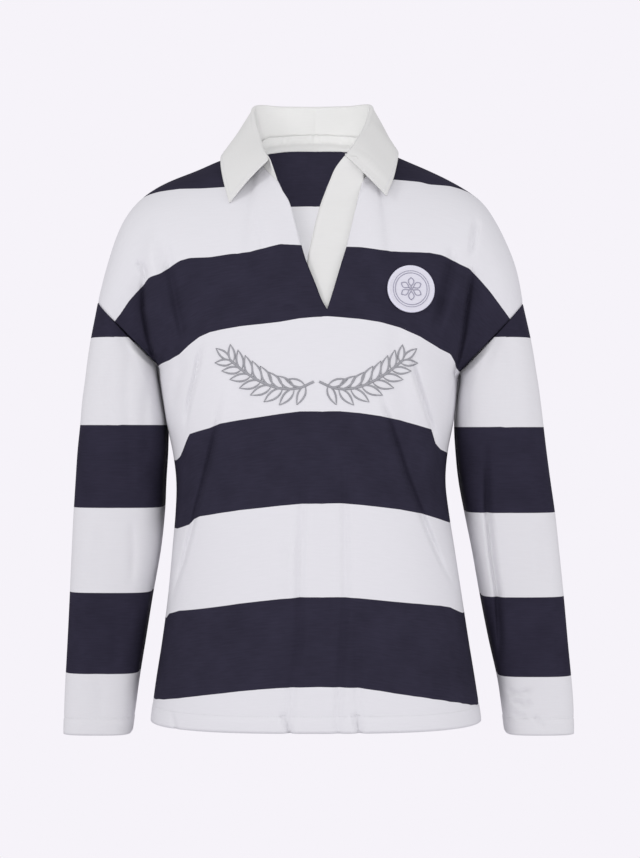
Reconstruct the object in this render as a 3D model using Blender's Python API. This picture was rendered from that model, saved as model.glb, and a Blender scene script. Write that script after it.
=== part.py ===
"""Long-sleeved striped polo shirt, hollow, in the form it has when worn.

Lengths in the tables are millimetres.  X runs to the viewer's right, the front faces -Y, +Z is
up.  The origin is the middle of the neck opening at the height of the shoulder points.
Left and right in piece names are the wearer's.
"""
import math
from typing import NamedTuple

import bmesh
import bpy
from mathutils import Vector
from mathutils.bvhtree import BVHTree

MM = 0.001

# Cloth
BODY_WALL = 1.6
UNDERARM_WALL = 2.6
COLLAR_WALL = 1.5
TAPE_WALL = 1.0
PATCH_WALL = 1.2
SEAM_GAP = 0.34
SLEEVE_CLEARANCE = 0.35
COLLAR_CLEARANCE = 1.0
STRIP_CLEARANCE = 0.6
PATCH_CLEARANCE = 1.1

# Grid counts
LOWER_ROWS = 9
UPPER_ROWS = 10
FRONT_NECK_COLUMNS = 5
BACK_NECK_COLUMNS = 6
TAPE_COLUMNS = 4
SHOULDER_COLUMNS = 9
ROLL_STEPS = 4
STAND_STEPS = 4
FALL_STEPS = 5

# Torso
HEM_HEIGHT = -645.0
RING_POWER = 2.35
SLIT_ANGLE = math.radians(2.9)
FRONT_FULLNESS = 8.0
BACK_FULLNESS = 10.0

# Armhole and sleeve
ARMHOLE_HALF_DEPTH = 57.0
SLEEVE_POWER = 2.25
SLEEVE_TOP_INNER = -242.6
SLEEVE_TOP_OUTER = -170.1

# Collar
ROLL_RADIUS = 2.7
FALL_BELLY = 3.0
REST_CLEARANCE = 0.5

# Small pieces
TAPE_WIDTH = 17.0
TAPE_CLEARANCE = 1.2
PATCH_DIAMETER = 52.0
PATCH_X = 105.0
PATCH_Z = -162.0


class TorsoSection(NamedTuple):
    """Cross-section of the torso at one height."""
    z: float
    wearer_right: float
    wearer_left: float
    front: float
    back: float


TORSO = (
    TorsoSection(-645.0, 187.5, 189.8, 118.0, 114.0),
    TorsoSection(-600.0, 181.5, 182.9, 118.5, 111.0),
    TorsoSection(-558.0, 174.8, 176.0, 119.0, 107.0),
    TorsoSection(-506.0, 167.9, 167.9, 120.0, 102.0),
    TorsoSection(-454.0, 163.0, 159.9, 121.0, 98.0),
    TorsoSection(-410.0, 159.2, 153.0, 122.0, 95.0),
    TorsoSection(-374.0, 158.2, 149.0, 123.0, 94.0),
    TorsoSection(-339.0, 162.5, 151.8, 124.0, 95.0),
    TorsoSection(-310.0, 168.0, 156.0, 125.0, 97.0),
    TorsoSection(-282.0, 173.2, 159.6, 125.0, 99.0),
    TorsoSection(-250.0, 177.6, 163.2, 123.5, 101.0),
    TorsoSection(-200.0, 180.0, 164.0, 117.5, 101.0),
    TorsoSection(-185.0, 180.0, 164.0, 114.0, 101.0),
)


class RowDrop(NamedTuple):
    """Share of the fall of the underarm row from centre to side seam."""
    across: float
    front: float
    back: float


UNDERARM_ROW = (
    RowDrop(0.00, 0.00, 0.00),
    RowDrop(0.20, 0.12, 0.06),
    RowDrop(0.40, 0.28, 0.22),
    RowDrop(0.50, 0.45, 0.36),
    RowDrop(0.60, 0.67, 0.52),
    RowDrop(0.70, 0.84, 0.68),
    RowDrop(0.85, 0.95, 0.90),
    RowDrop(1.00, 1.00, 1.00),
)
FRONT_ROW_CENTRE = -185.0
BACK_ROW_CENTRE = -200.0

# Armhole ends in front view: underarm point and shoulder point, as (x, z)
ARMHOLE = {
    -1: ((-178.3, -242.6), (-248.4, -170.1)),
    1: ((163.3, -251.8), (238.0, -171.3)),
}

# Shoulder ridge from the neck to the armhole, (x, y, z)
RIDGE = {
    -1: ((-66.0, 5.0, 11.0), (-85.0, 6.0, 4.0), (-112.7, 7.0, -6.0), (-134.6, 7.0, -16.0),
         (-169.0, 6.0, -30.0), (-190.0, 5.0, -42.0), (-207.0, 4.0, -57.0),
         (-220.0, 3.0, -76.0), (-229.2, 2.0, -98.0), (-236.2, 1.0, -121.0),
         (-242.4, 0.5, -144.0), (-248.4, 0.0, -170.1)),
    1: ((66.0, 5.0, 11.0), (84.0, 6.0, 4.0), (107.0, 7.0, -6.0), (129.9, 7.0, -16.0),
        (154.1, 6.0, -28.0), (176.0, 5.0, -41.0), (192.5, 4.0, -54.0),
        (206.5, 3.0, -75.0), (218.0, 2.0, -98.0), (227.4, 1.0, -121.0),
        (233.6, 0.5, -144.0), (238.0, 0.0, -171.3)),
}

# Neck seam from centre back over the shoulder to the front end, (x, y, z)
NECK_BACK = {
    -1: ((0.0, 68.0, 32.0), (-36.0, 60.0, 29.0), (-58.0, 35.0, 22.0), (-66.0, 5.0, 11.0)),
    1: ((0.0, 68.0, 32.0), (36.0, 60.0, 29.0), (58.0, 35.0, 22.0), (66.0, 5.0, 11.0)),
}
NECK_FRONT = {
    -1: ((-66.0, 5.0, 11.0), (-66.5, -13.0, 4.5), (-63.5, -32.0, -8.0),
         (-56.0, -48.5, -23.0), (-42.2, -62.0, -38.6)),
    1: ((66.0, 5.0, 11.0), (67.0, -13.0, 4.5), (66.0, -32.0, -8.0), (62.5, -48.5, -22.5),
        (54.8, -62.0, -37.5)),
}
NECK_STRIP = ((54.8, -62.0, -37.5), (38.0, -61.5, -36.5), (19.0, -59.0, -33.0))

# Edges of the neck slit from its bottom to the neck seam, (x, y, z)
SLIT_EDGE = {
    -1: ((13.3, -114.0, -185.0), (7.9, -111.0, -174.9), (-0.8, -104.5, -152.6),
         (-9.6, -97.0, -130.1), (-14.4, -91.0, -113.9), (-27.9, -73.5, -64.6),
         (-36.5, -66.0, -49.0), (-42.2, -62.0, -38.6)),
    1: ((13.3, -114.0, -185.0), (16.8, -111.0, -174.8), (23.4, -104.5, -152.7),
        (30.0, -97.0, -130.4), (34.8, -91.0, -114.5), (44.8, -76.0, -72.7),
        (54.8, -62.0, -37.5)),
}
CENTRE_BACK = ((0.0, 101.0, -200.0), (0.0, 106.0, -150.0), (0.0, 108.0, -110.0),
               (0.0, 104.0, -60.0), (0.0, 93.0, -15.0), (0.0, 80.0, 12.0),
               (0.0, 68.0, 32.0))


class SleeveRing(NamedTuple):
    """One ring of a sleeve: heights of its inner and outer line, depth and roundness."""
    inner_z: float
    outer_z: float
    half_depth: float
    roundness: float


SLEEVE_RINGS = (
    SleeveRing(-249.5, -181.0, 57.5, 0.25),
    SleeveRing(-257.0, -193.0, 58.0, 0.50),
    SleeveRing(-267.0, -208.0, 58.5, 0.75),
    SleeveRing(-280.0, -227.0, 59.0, 0.92),
    SleeveRing(-296.0, -250.0, 59.0, 1.00),
    SleeveRing(-314.0, -277.0, 58.5, 1.00),
    SleeveRing(-334.0, -307.0, 57.5, 1.00),
    SleeveRing(-357.0, -339.0, 56.0, 1.00),
    SleeveRing(-382.0, -372.0, 54.0, 1.00),
    SleeveRing(-408.0, -404.0, 51.5, 1.00),
    SleeveRing(-435.0, -435.0, 49.0, 1.00),
    SleeveRing(-463.0, -463.0, 46.5, 1.00),
    SleeveRing(-492.0, -492.0, 44.0, 1.00),
    SleeveRing(-522.0, -522.0, 41.5, 1.00),
    SleeveRing(-553.0, -553.0, 39.0, 1.00),
    SleeveRing(-583.0, -583.0, 36.5, 1.00),
    SleeveRing(-612.0, -612.0, 34.5, 1.00),
    SleeveRing(-639.0, -639.0, 33.0, 1.00),
    SleeveRing(-662.0, -662.0, 32.0, 1.00),
)


class SleeveOutline(NamedTuple):
    """Sleeve edges in front view at one height."""
    z: float
    inner: float
    outer: float


SLEEVE_OUTLINE = {
    -1: (
        SleeveOutline(-170.1, -179.5, -248.4),
        SleeveOutline(-213.0, -179.5, -255.3),
        SleeveOutline(-242.6, -179.5, -259.2),
        SleeveOutline(-258.0, -178.6, -261.0),
        SleeveOutline(-282.0, -176.0, -264.4),
        SleeveOutline(-310.0, -172.8, -266.9),
        SleeveOutline(-339.0, -171.6, -270.0),
        SleeveOutline(-374.0, -172.2, -272.5),
        SleeveOutline(-410.0, -173.7, -274.9),
        SleeveOutline(-454.0, -178.3, -277.3),
        SleeveOutline(-506.0, -187.3, -279.9),
        SleeveOutline(-558.0, -195.5, -282.7),
        SleeveOutline(-601.0, -202.4, -285.2),
        SleeveOutline(-627.0, -205.9, -286.4),
        SleeveOutline(-662.0, -210.5, -287.5),
    ),
    1: (
        SleeveOutline(-171.3, 164.8, 238.0),
        SleeveOutline(-213.0, 164.8, 246.0),
        SleeveOutline(-251.8, 164.8, 252.0),
        SleeveOutline(-265.0, 163.8, 254.2),
        SleeveOutline(-282.0, 162.6, 256.5),
        SleeveOutline(-310.0, 162.2, 259.9),
        SleeveOutline(-339.0, 162.6, 263.4),
        SleeveOutline(-374.0, 166.0, 268.2),
        SleeveOutline(-410.0, 172.5, 273.5),
        SleeveOutline(-454.0, 181.3, 278.5),
        SleeveOutline(-506.0, 190.4, 284.0),
        SleeveOutline(-558.0, 200.5, 288.9),
        SleeveOutline(-601.0, 210.2, 293.2),
        SleeveOutline(-627.0, 214.2, 295.3),
        SleeveOutline(-662.0, 218.5, 296.0),
    ),
}

# Collar rails from centre back to the front ends, (x, y, z)
COLLAR_ROLL = {
    -1: ((0.0, 60.0, 62.0), (-38.0, 55.0, 62.0), (-66.0, 36.0, 61.5), (-69.0, 14.0, 46.0),
         (-64.5, -16.0, 21.0), (-58.5, -42.0, 1.5), (-52.2, -60.0, -12.0)),
    1: ((0.0, 60.0, 62.0), (38.0, 55.0, 62.5), (62.0, 36.0, 63.5), (61.5, 12.0, 46.0),
        (55.5, -12.0, 28.5), (47.7, -34.0, 13.0), (35.9, -57.0, -7.1)),
}
COLLAR_EDGE = {
    -1: ((0.0, 87.0, 6.0), (-40.0, 84.0, 5.0), (-73.0, 73.0, 6.0), (-96.0, 46.0, 7.0),
         (-105.5, 10.0, 4.0), (-108.0, -14.0, -7.0), (-104.5, -38.0, -30.0),
         (-95.6, -64.0, -63.3)),
    1: ((0.0, 87.0, 6.0), (40.0, 84.0, 5.0), (70.0, 73.0, 7.0), (88.0, 46.0, 10.0),
        (94.0, 12.0, 8.0), (95.5, -12.0, -1.0), (90.5, -38.0, -25.0),
        (80.4, -64.0, -55.5)),
}


class CollarPace(NamedTuple):
    """Shares of the collar's three rails that belong together."""
    neck: float
    roll: float
    edge: float


COLLAR_PACE = {
    -1: (
        CollarPace(0.00, 0.00, 0.00),
        CollarPace(0.53, 0.55, 0.58),
        CollarPace(0.80, 0.82, 0.83),
        CollarPace(1.00, 1.00, 1.00),
    ),
    1: (
        CollarPace(0.00, 0.00, 0.00),
        CollarPace(0.45, 0.54, 0.58),
        CollarPace(0.66, 0.78, 0.80),
        CollarPace(0.83, 0.94, 0.93),
        CollarPace(1.00, 1.00, 1.00),
    ),
}


class StripRow(NamedTuple):
    """One row of the placket strip: seam side, free side and how deep it lies."""
    z: float
    seam_x: float
    free_x: float
    seam_y: float
    free_y: float


PLACKET_STRIP = (
    StripRow(-38.5, 54.5, 18.5, -58.6, -57.6),
    StripRow(-52.0, 53.6, 11.0, -64.6, -62.0),
    StripRow(-68.0, 50.0, 5.5, -71.5, -68.5),
    StripRow(-88.0, 45.4, 0.5, -78.9, -75.5),
    StripRow(-108.0, 40.2, -4.0, -86.0, -83.0),
    StripRow(-128.0, 35.0, -8.0, -93.2, -90.5),
    StripRow(-148.0, 29.8, -11.0, -100.0, -97.5),
    StripRow(-168.0, 24.2, -13.5, -106.2, -104.2),
    StripRow(-189.0, 19.0, -16.0, -111.2, -110.0),
)
STRIP_STEPS = 4

COLOURS = {
    "jersey": (0.031, 0.028, 0.048),
    "twill": (0.80, 0.80, 0.78),
    "patch": (0.73, 0.72, 0.82),
}


class Smooth:
    """Smooth value between keyed values, with straight ends."""

    def __init__(self, keys, values):
        pairs = sorted(zip(keys, values))
        self.keys = [pair[0] for pair in pairs]
        self.values = [pair[1] for pair in pairs]
        last = len(pairs) - 1
        self.slopes = []
        for index in range(len(pairs)):
            low = max(index - 1, 0)
            high = min(index + 1, last)
            rise = self.values[high] - self.values[low]
            self.slopes.append(rise / (self.keys[high] - self.keys[low]))

    def at(self, key):
        if key <= self.keys[0]:
            return self.values[0]
        if key >= self.keys[-1]:
            return self.values[-1]
        index = 0
        while self.keys[index + 1] < key:
            index += 1
        span = self.keys[index + 1] - self.keys[index]
        u = (key - self.keys[index]) / span
        start = (1 + 2 * u) * (1 - u) ** 2 * self.values[index]
        start_slope = u * (1 - u) ** 2 * span * self.slopes[index]
        end = u * u * (3 - 2 * u) * self.values[index + 1]
        end_slope = u * u * (u - 1) * span * self.slopes[index + 1]
        return start + start_slope + end + end_slope


class Path:
    """Smooth line through points, read by the share of its length."""

    def __init__(self, points):
        reached = [0.0]
        for first, second in zip(points, points[1:]):
            reached.append(reached[-1] + (Vector(second) - Vector(first)).length)
        self.length = reached[-1]
        shares = [value / reached[-1] for value in reached]
        self.axes = [Smooth(shares, [point[axis] for point in points]) for axis in range(3)]

    def at(self, share):
        return Vector([axis.at(share) for axis in self.axes])


def ease(low, high, value):
    """Smooth step from 0 at low to 1 at high."""
    u = min(max((value - low) / (high - low), 0.0), 1.0)
    return u * u * (3 - 2 * u)


def table_curve(table, key, column):
    """Smooth curve of one named column over another."""
    return Smooth([getattr(row, key) for row in table], [getattr(row, column) for row in table])


class Torso:
    """Surface of the front and back, by share across and share of height."""

    def __init__(self):
        self.width = {
            -1: table_curve(TORSO, "z", "wearer_right"),
            1: table_curve(TORSO, "z", "wearer_left"),
        }
        self.depth = {
            "front": table_curve(TORSO, "z", "front"),
            "back": table_curve(TORSO, "z", "back"),
        }
        self.drop = {
            "front": table_curve(UNDERARM_ROW, "across", "front"),
            "back": table_curve(UNDERARM_ROW, "across", "back"),
        }
        self.row_centre = {"front": FRONT_ROW_CENTRE, "back": BACK_ROW_CENTRE}
        self.neck = {
            ("front", side): Path(NECK_FRONT[side][::-1]) for side in (-1, 1)
        }
        for side in (-1, 1):
            self.neck["back", side] = Path(NECK_BACK[side])
        self.ridge = {side: Path(RIDGE[side]) for side in (-1, 1)}
        self.edge = {("front", side): Path(SLIT_EDGE[side]) for side in (-1, 1)}
        for side in (-1, 1):
            self.edge["back", side] = Path(CENTRE_BACK)
        self.neck_columns = {"front": FRONT_NECK_COLUMNS, "back": BACK_NECK_COLUMNS}
        self.fullness = {"front": FRONT_FULLNESS, "back": BACK_FULLNESS}

    def columns(self, panel):
        return self.neck_columns[panel] + SHOULDER_COLUMNS

    def ring_point(self, panel, side, across, z):
        """Point of the ring at height z, across from the centre (0) to the seam (1)."""
        if panel == "front":
            centre = SLIT_ANGLE * side
            angle = centre + across * (side * math.pi / 2 - centre)
        else:
            angle = side * across * math.pi / 2
        run = abs(math.sin(angle))
        half = -1 if angle < 0 else 1
        x = self.width[half].at(z) * math.sin(angle)
        fill = max(1 - run ** RING_POWER, 0.0) ** (1 / RING_POWER)
        y = self.depth[panel].at(z) * fill
        return Vector((x, -y if panel == "front" else y, z))

    def front_ring_point(self, side, across, z):
        """Front ring, with both halves counted from the slit column."""
        angle = SLIT_ANGLE + across * (side * math.pi / 2 - SLIT_ANGLE)
        run = abs(math.sin(angle))
        half = -1 if angle < 0 else 1
        x = self.width[half].at(z) * math.sin(angle)
        fill = max(1 - run ** RING_POWER, 0.0) ** (1 / RING_POWER)
        return Vector((x, -self.depth["front"].at(z) * fill, z))

    def underarm_z(self, panel, side, across):
        centre = self.row_centre[panel]
        seam = ARMHOLE[side][0][1]
        return centre + (seam - centre) * self.drop[panel].at(across)

    def underarm_point(self, panel, side, across):
        z = self.underarm_z(panel, side, across)
        if across >= 1.0:
            x, z = ARMHOLE[side][0]
            return Vector((x, 0.0, z))
        if panel == "front":
            point = self.front_ring_point(side, across, z)
            if across <= 0.0:
                return self.edge["front", side].at(0.0)
            return point
        return self.ring_point(panel, side, across, z)

    def lower_point(self, panel, side, across, height):
        """Point between the hem (height 0) and the underarm row (height 1)."""
        top = self.underarm_point(panel, side, across)
        z = HEM_HEIGHT + (top.z - HEM_HEIGHT) * height
        if height >= 1.0:
            return top
        if panel == "front":
            ring = self.front_ring_point(side, across, z)
            target = self.front_ring_point(side, across, top.z)
        else:
            ring = self.ring_point(panel, side, across, z)
            target = self.ring_point(panel, side, across, top.z)
        return ring + (top - target) * ease(0.6, 1.0, height)

    def top_point(self, panel, side, across):
        """Point of the upper border: neck seam, then shoulder ridge."""
        share = self.neck_columns[panel] / self.columns(panel)
        if across <= share:
            return self.neck[panel, side].at(across / share)
        return self.ridge[side].at((across - share) / (1 - share))

    def armhole_point(self, panel, side, share):
        """Point of the armhole from the underarm (0) to the shoulder (1)."""
        (low_x, low_z), (high_x, high_z) = ARMHOLE[side]
        climb = math.sin(share * math.pi / 2)
        y = ARMHOLE_HALF_DEPTH * math.sin(share * math.pi)
        x = low_x + (high_x - low_x) * climb
        z = low_z + (high_z - low_z) * climb
        return Vector((x, -y if panel == "front" else y, z))

    def upper_point(self, panel, side, across, height):
        """Point between the underarm row (height 0) and the upper border (height 1)."""
        share = self.neck_columns[panel] / self.columns(panel)
        low = self.underarm_point(panel, side, across)
        high = self.top_point(panel, side, across)
        arched = math.sin(height * math.pi / 2)
        blend = ease(0.0, 2.2 * share, across)
        climb = height + (arched - height) * blend
        point = low.lerp(high, climb)
        inner_low = self.underarm_point(panel, side, 0.0)
        inner_high = self.top_point(panel, side, 0.0)
        inner = self.edge[panel, side].at(height) - inner_low.lerp(inner_high, height)
        outer_low = self.underarm_point(panel, side, 1.0)
        outer_high = self.top_point(panel, side, 1.0)
        outer = self.armhole_point(panel, side, height) - outer_low.lerp(outer_high, arched)
        point = point + inner * (1 - across) + outer * across
        swell = self.fullness[panel] * 4 * across * (1 - across) * math.sin(height * math.pi)
        point.y += -swell if panel == "front" else swell
        return point


class Sleeve:
    """Surface of one sleeve, by ring and by turn round it."""

    def __init__(self, side, torso):
        self.side = side
        self.torso = torso
        outline = SLEEVE_OUTLINE[side]
        self.inner = table_curve(outline, "z", "inner")
        self.outer = table_curve(outline, "z", "outer")

    def ring(self, number):
        """Points of one ring, from the underarm line over the front, then the back."""
        turns = 2 * UPPER_ROWS
        points = []
        for index in range(turns):
            panel = "front" if index <= UPPER_ROWS else "back"
            share = index / UPPER_ROWS if index <= UPPER_ROWS else 2 - index / UPPER_ROWS
            if number == 0:
                points.append(self.torso.armhole_point(panel, self.side, share))
            else:
                points.append(self.ring_point(SLEEVE_RINGS[number - 1], panel, share))
        return points

    def ring_point(self, row, panel, share):
        (low_x, low_z), (high_x, high_z) = ARMHOLE[self.side]
        fade = 1 - ease(-250.0, -440.0, row.inner_z)
        inner_z = row.inner_z + (low_z - SLEEVE_TOP_INNER) * fade
        outer_z = row.outer_z + (high_z - SLEEVE_TOP_OUTER) * fade
        inner = Vector((self.inner.at(inner_z), 0.0, inner_z))
        outer = Vector((self.outer.at(outer_z), 0.0, outer_z))
        angle = share * math.pi
        cosine = math.cos(angle)
        even = 0.5 - 0.5 * math.copysign(abs(cosine) ** (2 / SLEEVE_POWER), cosine)
        drop = math.sin(angle / 2)
        along = drop + (even - drop) * row.roundness
        power = 1 + (2 / SLEEVE_POWER - 1) * row.roundness
        y = row.half_depth * math.sin(angle) ** power if 0 < share < 1 else 0.0
        point = inner.lerp(outer, along)
        point.y = -y if panel == "front" else y
        return point


class Cloth:
    """Welded outer faces of several pieces, with one normal at each shared point."""

    def __init__(self):
        self.points = []
        self.lookup = {}
        self.faces = {}

    def index(self, point):
        key = tuple(round(value, 3) for value in point)
        if key not in self.lookup:
            self.lookup[key] = len(self.points)
            self.points.append(point.copy())
        return self.lookup[key]

    def add_grid(self, piece, rows, flip, closed=False):
        faces = self.faces.setdefault(piece, [])
        table = [[self.index(point) for point in row] for row in rows]
        for low, high in zip(table, table[1:]):
            count = len(low) if closed else len(low) - 1
            for index in range(count):
                after = (index + 1) % len(low)
                face = [low[index], low[after], high[after], high[index]]
                faces.append(face[::-1] if flip else face)

    def face_normal(self, face):
        first = self.points[face[2]] - self.points[face[0]]
        second = self.points[face[3]] - self.points[face[1]]
        return first.cross(second)

    def inward_steps(self, wall):
        """Step from each point to the inner side of the wall."""
        sums = [Vector() for point in self.points]
        around = [[] for point in self.points]
        for faces in self.faces.values():
            for face in faces:
                normal = self.face_normal(face).normalized()
                for corner in face:
                    sums[corner] += normal
                    around[corner].append(normal)
        steps = []
        for total, normals in zip(sums, around):
            normal = total.normalized()
            lean = sum(normal.dot(other) for other in normals) / len(normals)
            steps.append(normal * (-wall / max(lean, 0.6)))
        return steps

    def border(self, piece):
        """Edges of the piece that only one of its faces uses, with that face."""
        found = {}
        for face in self.faces[piece]:
            for first, second in zip(face, face[1:] + face[:1]):
                key = (min(first, second), max(first, second))
                found.setdefault(key, []).append((first, second, face))
        return [uses[0] for uses in found.values() if len(uses) == 1]

    def pull_in(self, piece):
        """Small shift of the border points into the piece, which leaves the seam gap."""
        pulls = {}
        for first, second, face in self.border(piece):
            along = (self.points[second] - self.points[first]).normalized()
            inward = self.face_normal(face).normalized().cross(along)
            for corner in (first, second):
                pulls.setdefault(corner, []).append(inward)
        shifts = {}
        for corner, directions in pulls.items():
            if len(directions) == 1:
                shifts[corner] = directions[0] * (SEAM_GAP / 2)
                continue
            total = directions[0] + directions[1]
            spread = max(1 + directions[0].dot(directions[1]), 0.35)
            shifts[corner] = total * (SEAM_GAP / 2 / spread)
        return shifts

    def solid(self, piece, steps):
        """Vertices and faces of the piece as a closed wall."""
        used = sorted({corner for face in self.faces[piece] for corner in face})
        place = {corner: number for number, corner in enumerate(used)}
        shifts = self.pull_in(piece)
        outer = []
        for corner in used:
            outer.append(self.points[corner] + shifts.get(corner, Vector()))
        inner = [point + steps[corner] for point, corner in zip(outer, used)]
        count = len(used)
        faces = [[place[corner] for corner in face] for face in self.faces[piece]]
        walls = [[place[corner] + count for corner in reversed(face)]
                 for face in self.faces[piece]]
        rims = []
        for first, second, face in self.border(piece):
            low, high = place[first], place[second]
            if first < second:
                rims.append([high, low, high + count])
                rims.append([low, low + count, high + count])
            else:
                rims.append([high, low, low + count])
                rims.append([high, low + count, high + count])
        return outer + inner, faces + walls + rims


def sheet_solid(rows, wall, flip):
    """Closed wall from a grid; the wall goes to the far side of the faces."""
    cloth = Cloth()
    cloth.add_grid("sheet", rows, flip)
    steps = cloth.inward_steps(wall)
    used = list(range(len(cloth.points)))
    inner = [cloth.points[corner] + steps[corner] for corner in used]
    count = len(used)
    faces = [list(face) for face in cloth.faces["sheet"]]
    walls = [[corner + count for corner in reversed(face)] for face in faces]
    rims = []
    for first, second, face in cloth.border("sheet"):
        rims.append([second, first, first + count, second + count])
    return cloth.points + inner, faces + walls + rims


def body_cloth(torso):
    """Front, back and sleeves as welded outer faces."""
    cloth = Cloth()
    for panel in ("front", "back"):
        count = torso.columns(panel)
        for side in (-1, 1):
            lower = []
            for row in range(LOWER_ROWS + 1):
                lower.append([torso.lower_point(panel, side, column / count, row / LOWER_ROWS)
                              for column in range(count + 1)])
            upper = []
            for row in range(UPPER_ROWS + 1):
                upper.append([torso.upper_point(panel, side, column / count, row / UPPER_ROWS)
                              for column in range(count + 1)])
            flip = (side < 0) == (panel == "front")
            cloth.add_grid(panel, lower, flip)
            cloth.add_grid(panel, upper, flip)
    for side, piece in ((-1, "sleeve_right"), (1, "sleeve_left")):
        sleeve = Sleeve(side, torso)
        rings = [sleeve.ring(number) for number in range(len(SLEEVE_RINGS) + 1)]
        cloth.add_grid(piece, rings, side > 0, closed=True)
    return cloth


def surface_tree(points, faces):
    return BVHTree.FromPolygons([tuple(point) for point in points], faces)


def clear_of(tree, point, need):
    """Move a point that lies over a surface until it clears it by the need."""
    place, normal, index, distance = tree.find_nearest(point)
    gap = (point - place).dot(normal)
    beside = (point - place - normal * gap).length
    if beside < 2.5 and gap < need:
        return point + normal * (need - gap)
    return point


class Collar:
    """One-piece fold-over collar: stand, roll and fall along the neck seam."""

    def __init__(self, torso, trees):
        self.torso = torso
        self.trees = trees
        self.roll = {side: Path(COLLAR_ROLL[side]) for side in (-1, 1)}
        self.edge = {side: Path(COLLAR_EDGE[side]) for side in (-1, 1)}
        self.strip = Path(NECK_STRIP)
        self.roll_pace = {}
        self.edge_pace = {}
        for side in (-1, 1):
            self.roll_pace[side] = table_curve(COLLAR_PACE[side], "neck", "roll")
            self.edge_pace[side] = table_curve(COLLAR_PACE[side], "neck", "edge")

    def neck_points(self, side):
        """Neck seam points from centre back to the front end of one side."""
        points = []
        for column in range(BACK_NECK_COLUMNS + 1):
            points.append(self.torso.neck["back", side].at(column / BACK_NECK_COLUMNS))
        for column in range(1, FRONT_NECK_COLUMNS + 1):
            points.append(self.torso.neck["front", side].at(1 - column / FRONT_NECK_COLUMNS))
        if side > 0:
            for column in range(1, 4):
                points.append(self.strip.at(column / 3))
        return points

    def section(self, side, neck, share, outward):
        """Points of one cross-section, from the neck seam to the outer edge."""
        roll = self.roll[side].at(self.roll_pace[side].at(share))
        edge = self.edge[side].at(self.edge_pace[side].at(share))
        up = (roll - neck).normalized()
        out = (outward - up * outward.dot(up)).normalized()
        foot = neck - out * COLLAR_WALL + up * COLLAR_CLEARANCE
        centre = roll - up * ROLL_RADIUS
        inner = centre - out * ROLL_RADIUS
        points = []
        for step in range(STAND_STEPS):
            points.append(foot.lerp(inner, step / STAND_STEPS))
        fall = (edge - centre).normalized()
        for step in range(ROLL_STEPS + 1):
            angle = math.pi * step / ROLL_STEPS
            arc = up * math.sin(angle) - out * math.cos(angle)
            points.append(centre + arc * ROLL_RADIUS)
        outer = points[-1]
        away = (out - fall * out.dot(fall)).normalized()
        for step in range(1, FALL_STEPS + 1):
            reach = step / FALL_STEPS
            point = outer.lerp(edge, reach)
            point += away * (FALL_BELLY * math.sin(math.pi * reach))
            points.append(self.rest(point))
        return points

    def rest(self, point):
        """Lift a point of the fall so that the wall clears the shirt beneath it."""
        need = COLLAR_WALL + REST_CLEARANCE
        for tree in self.trees:
            point = clear_of(tree, point, need)
        return point

    def rows(self):
        sections = []
        for side in (-1, 1):
            necks = self.neck_points(side)
            reached = [0.0]
            for first, second in zip(necks, necks[1:]):
                reached.append(reached[-1] + (second - first).length)
            half = []
            for index, neck in enumerate(necks):
                before = necks[max(index - 1, 0)]
                after = necks[min(index + 1, len(necks) - 1)]
                along = (after - before) * side
                outward = along.cross(Vector((0, 0, 1)))
                if index == 0:
                    outward = Vector((0, 1, 0))
                outward = Vector((outward.x, outward.y, 0)).normalized()
                if outward.dot(Vector((neck.x, neck.y - 5.0, 0))) < 0:
                    outward = -outward
                share = reached[index] / reached[-1]
                half.append(self.section(side, neck, share, outward))
            sections.append(half)
        right, left = sections
        return right[::-1] + left[1:]


def neck_tape(torso, tree):
    """Tape inside the back neck, made from the points of the back moved in."""
    rows = []
    for column in range(-TAPE_COLUMNS, TAPE_COLUMNS + 1):
        side = -1 if column < 0 else 1
        across = abs(column) / torso.columns("back")
        line = [torso.upper_point("back", side, across, 1 - step / 40) for step in range(13)]
        beside = torso.upper_point("back", side, min(across + 0.02, 1.0), 0.95)
        here = torso.upper_point("back", side, across, 0.95)
        down = (line[4] - line[0]).normalized()
        inward = (beside - here).cross(down)
        if inward.dot(Vector((here.x, here.y, 0))) > 0:
            inward = -inward
        inward = inward.normalized()
        row = []
        for wanted in (1.2, 1.2 + TAPE_WIDTH / 2, 1.2 + TAPE_WIDTH):
            point = walk(line, wanted) + inward * (BODY_WALL + TAPE_CLEARANCE)
            place, normal, index, distance = tree.find_nearest(point)
            gap = (point - place).dot(normal)
            row.append(point + normal * max(TAPE_CLEARANCE - gap, 0.0))
        rows.append(row)
    return rows


def walk(line, distance):
    """Point at a distance along a polyline."""
    for first, second in zip(line, line[1:]):
        length = (second - first).length
        if distance <= length:
            return first.lerp(second, distance / length)
        distance -= length
    return line[-1]


def placket_strip(tree):
    rows = []
    for row in PLACKET_STRIP:
        seam = Vector((row.seam_x, row.seam_y, row.z))
        free = Vector((row.free_x, row.free_y, row.z + (3.0 if row is PLACKET_STRIP[0] else 0)))
        row = [seam.lerp(free, step / STRIP_STEPS) for step in range(STRIP_STEPS + 1)]
        rows.append([clear_of(tree, point, STRIP_CLEARANCE) for point in row])
    return rows


def patch_disc(tree):
    """Round patch laid on the front: its points are those of the front moved out."""
    rings = (0.0, 0.4, 0.75, 1.0)
    turns = 24
    rows = []
    for ring in rings[1:]:
        row = []
        for turn in range(turns):
            angle = 2 * math.pi * turn / turns
            x = PATCH_X + ring * PATCH_DIAMETER / 2 * math.cos(angle)
            z = PATCH_Z + ring * PATCH_DIAMETER / 2 * math.sin(angle)
            row.append(on_front(tree, x, z))
        rows.append(row)
    return on_front(tree, PATCH_X, PATCH_Z), rows


def on_front(tree, x, z):
    place, normal, index, distance = tree.ray_cast(Vector((x, -400.0, z)), Vector((0, 1, 0)))
    return place + normal * (PATCH_WALL + PATCH_CLEARANCE)


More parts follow.
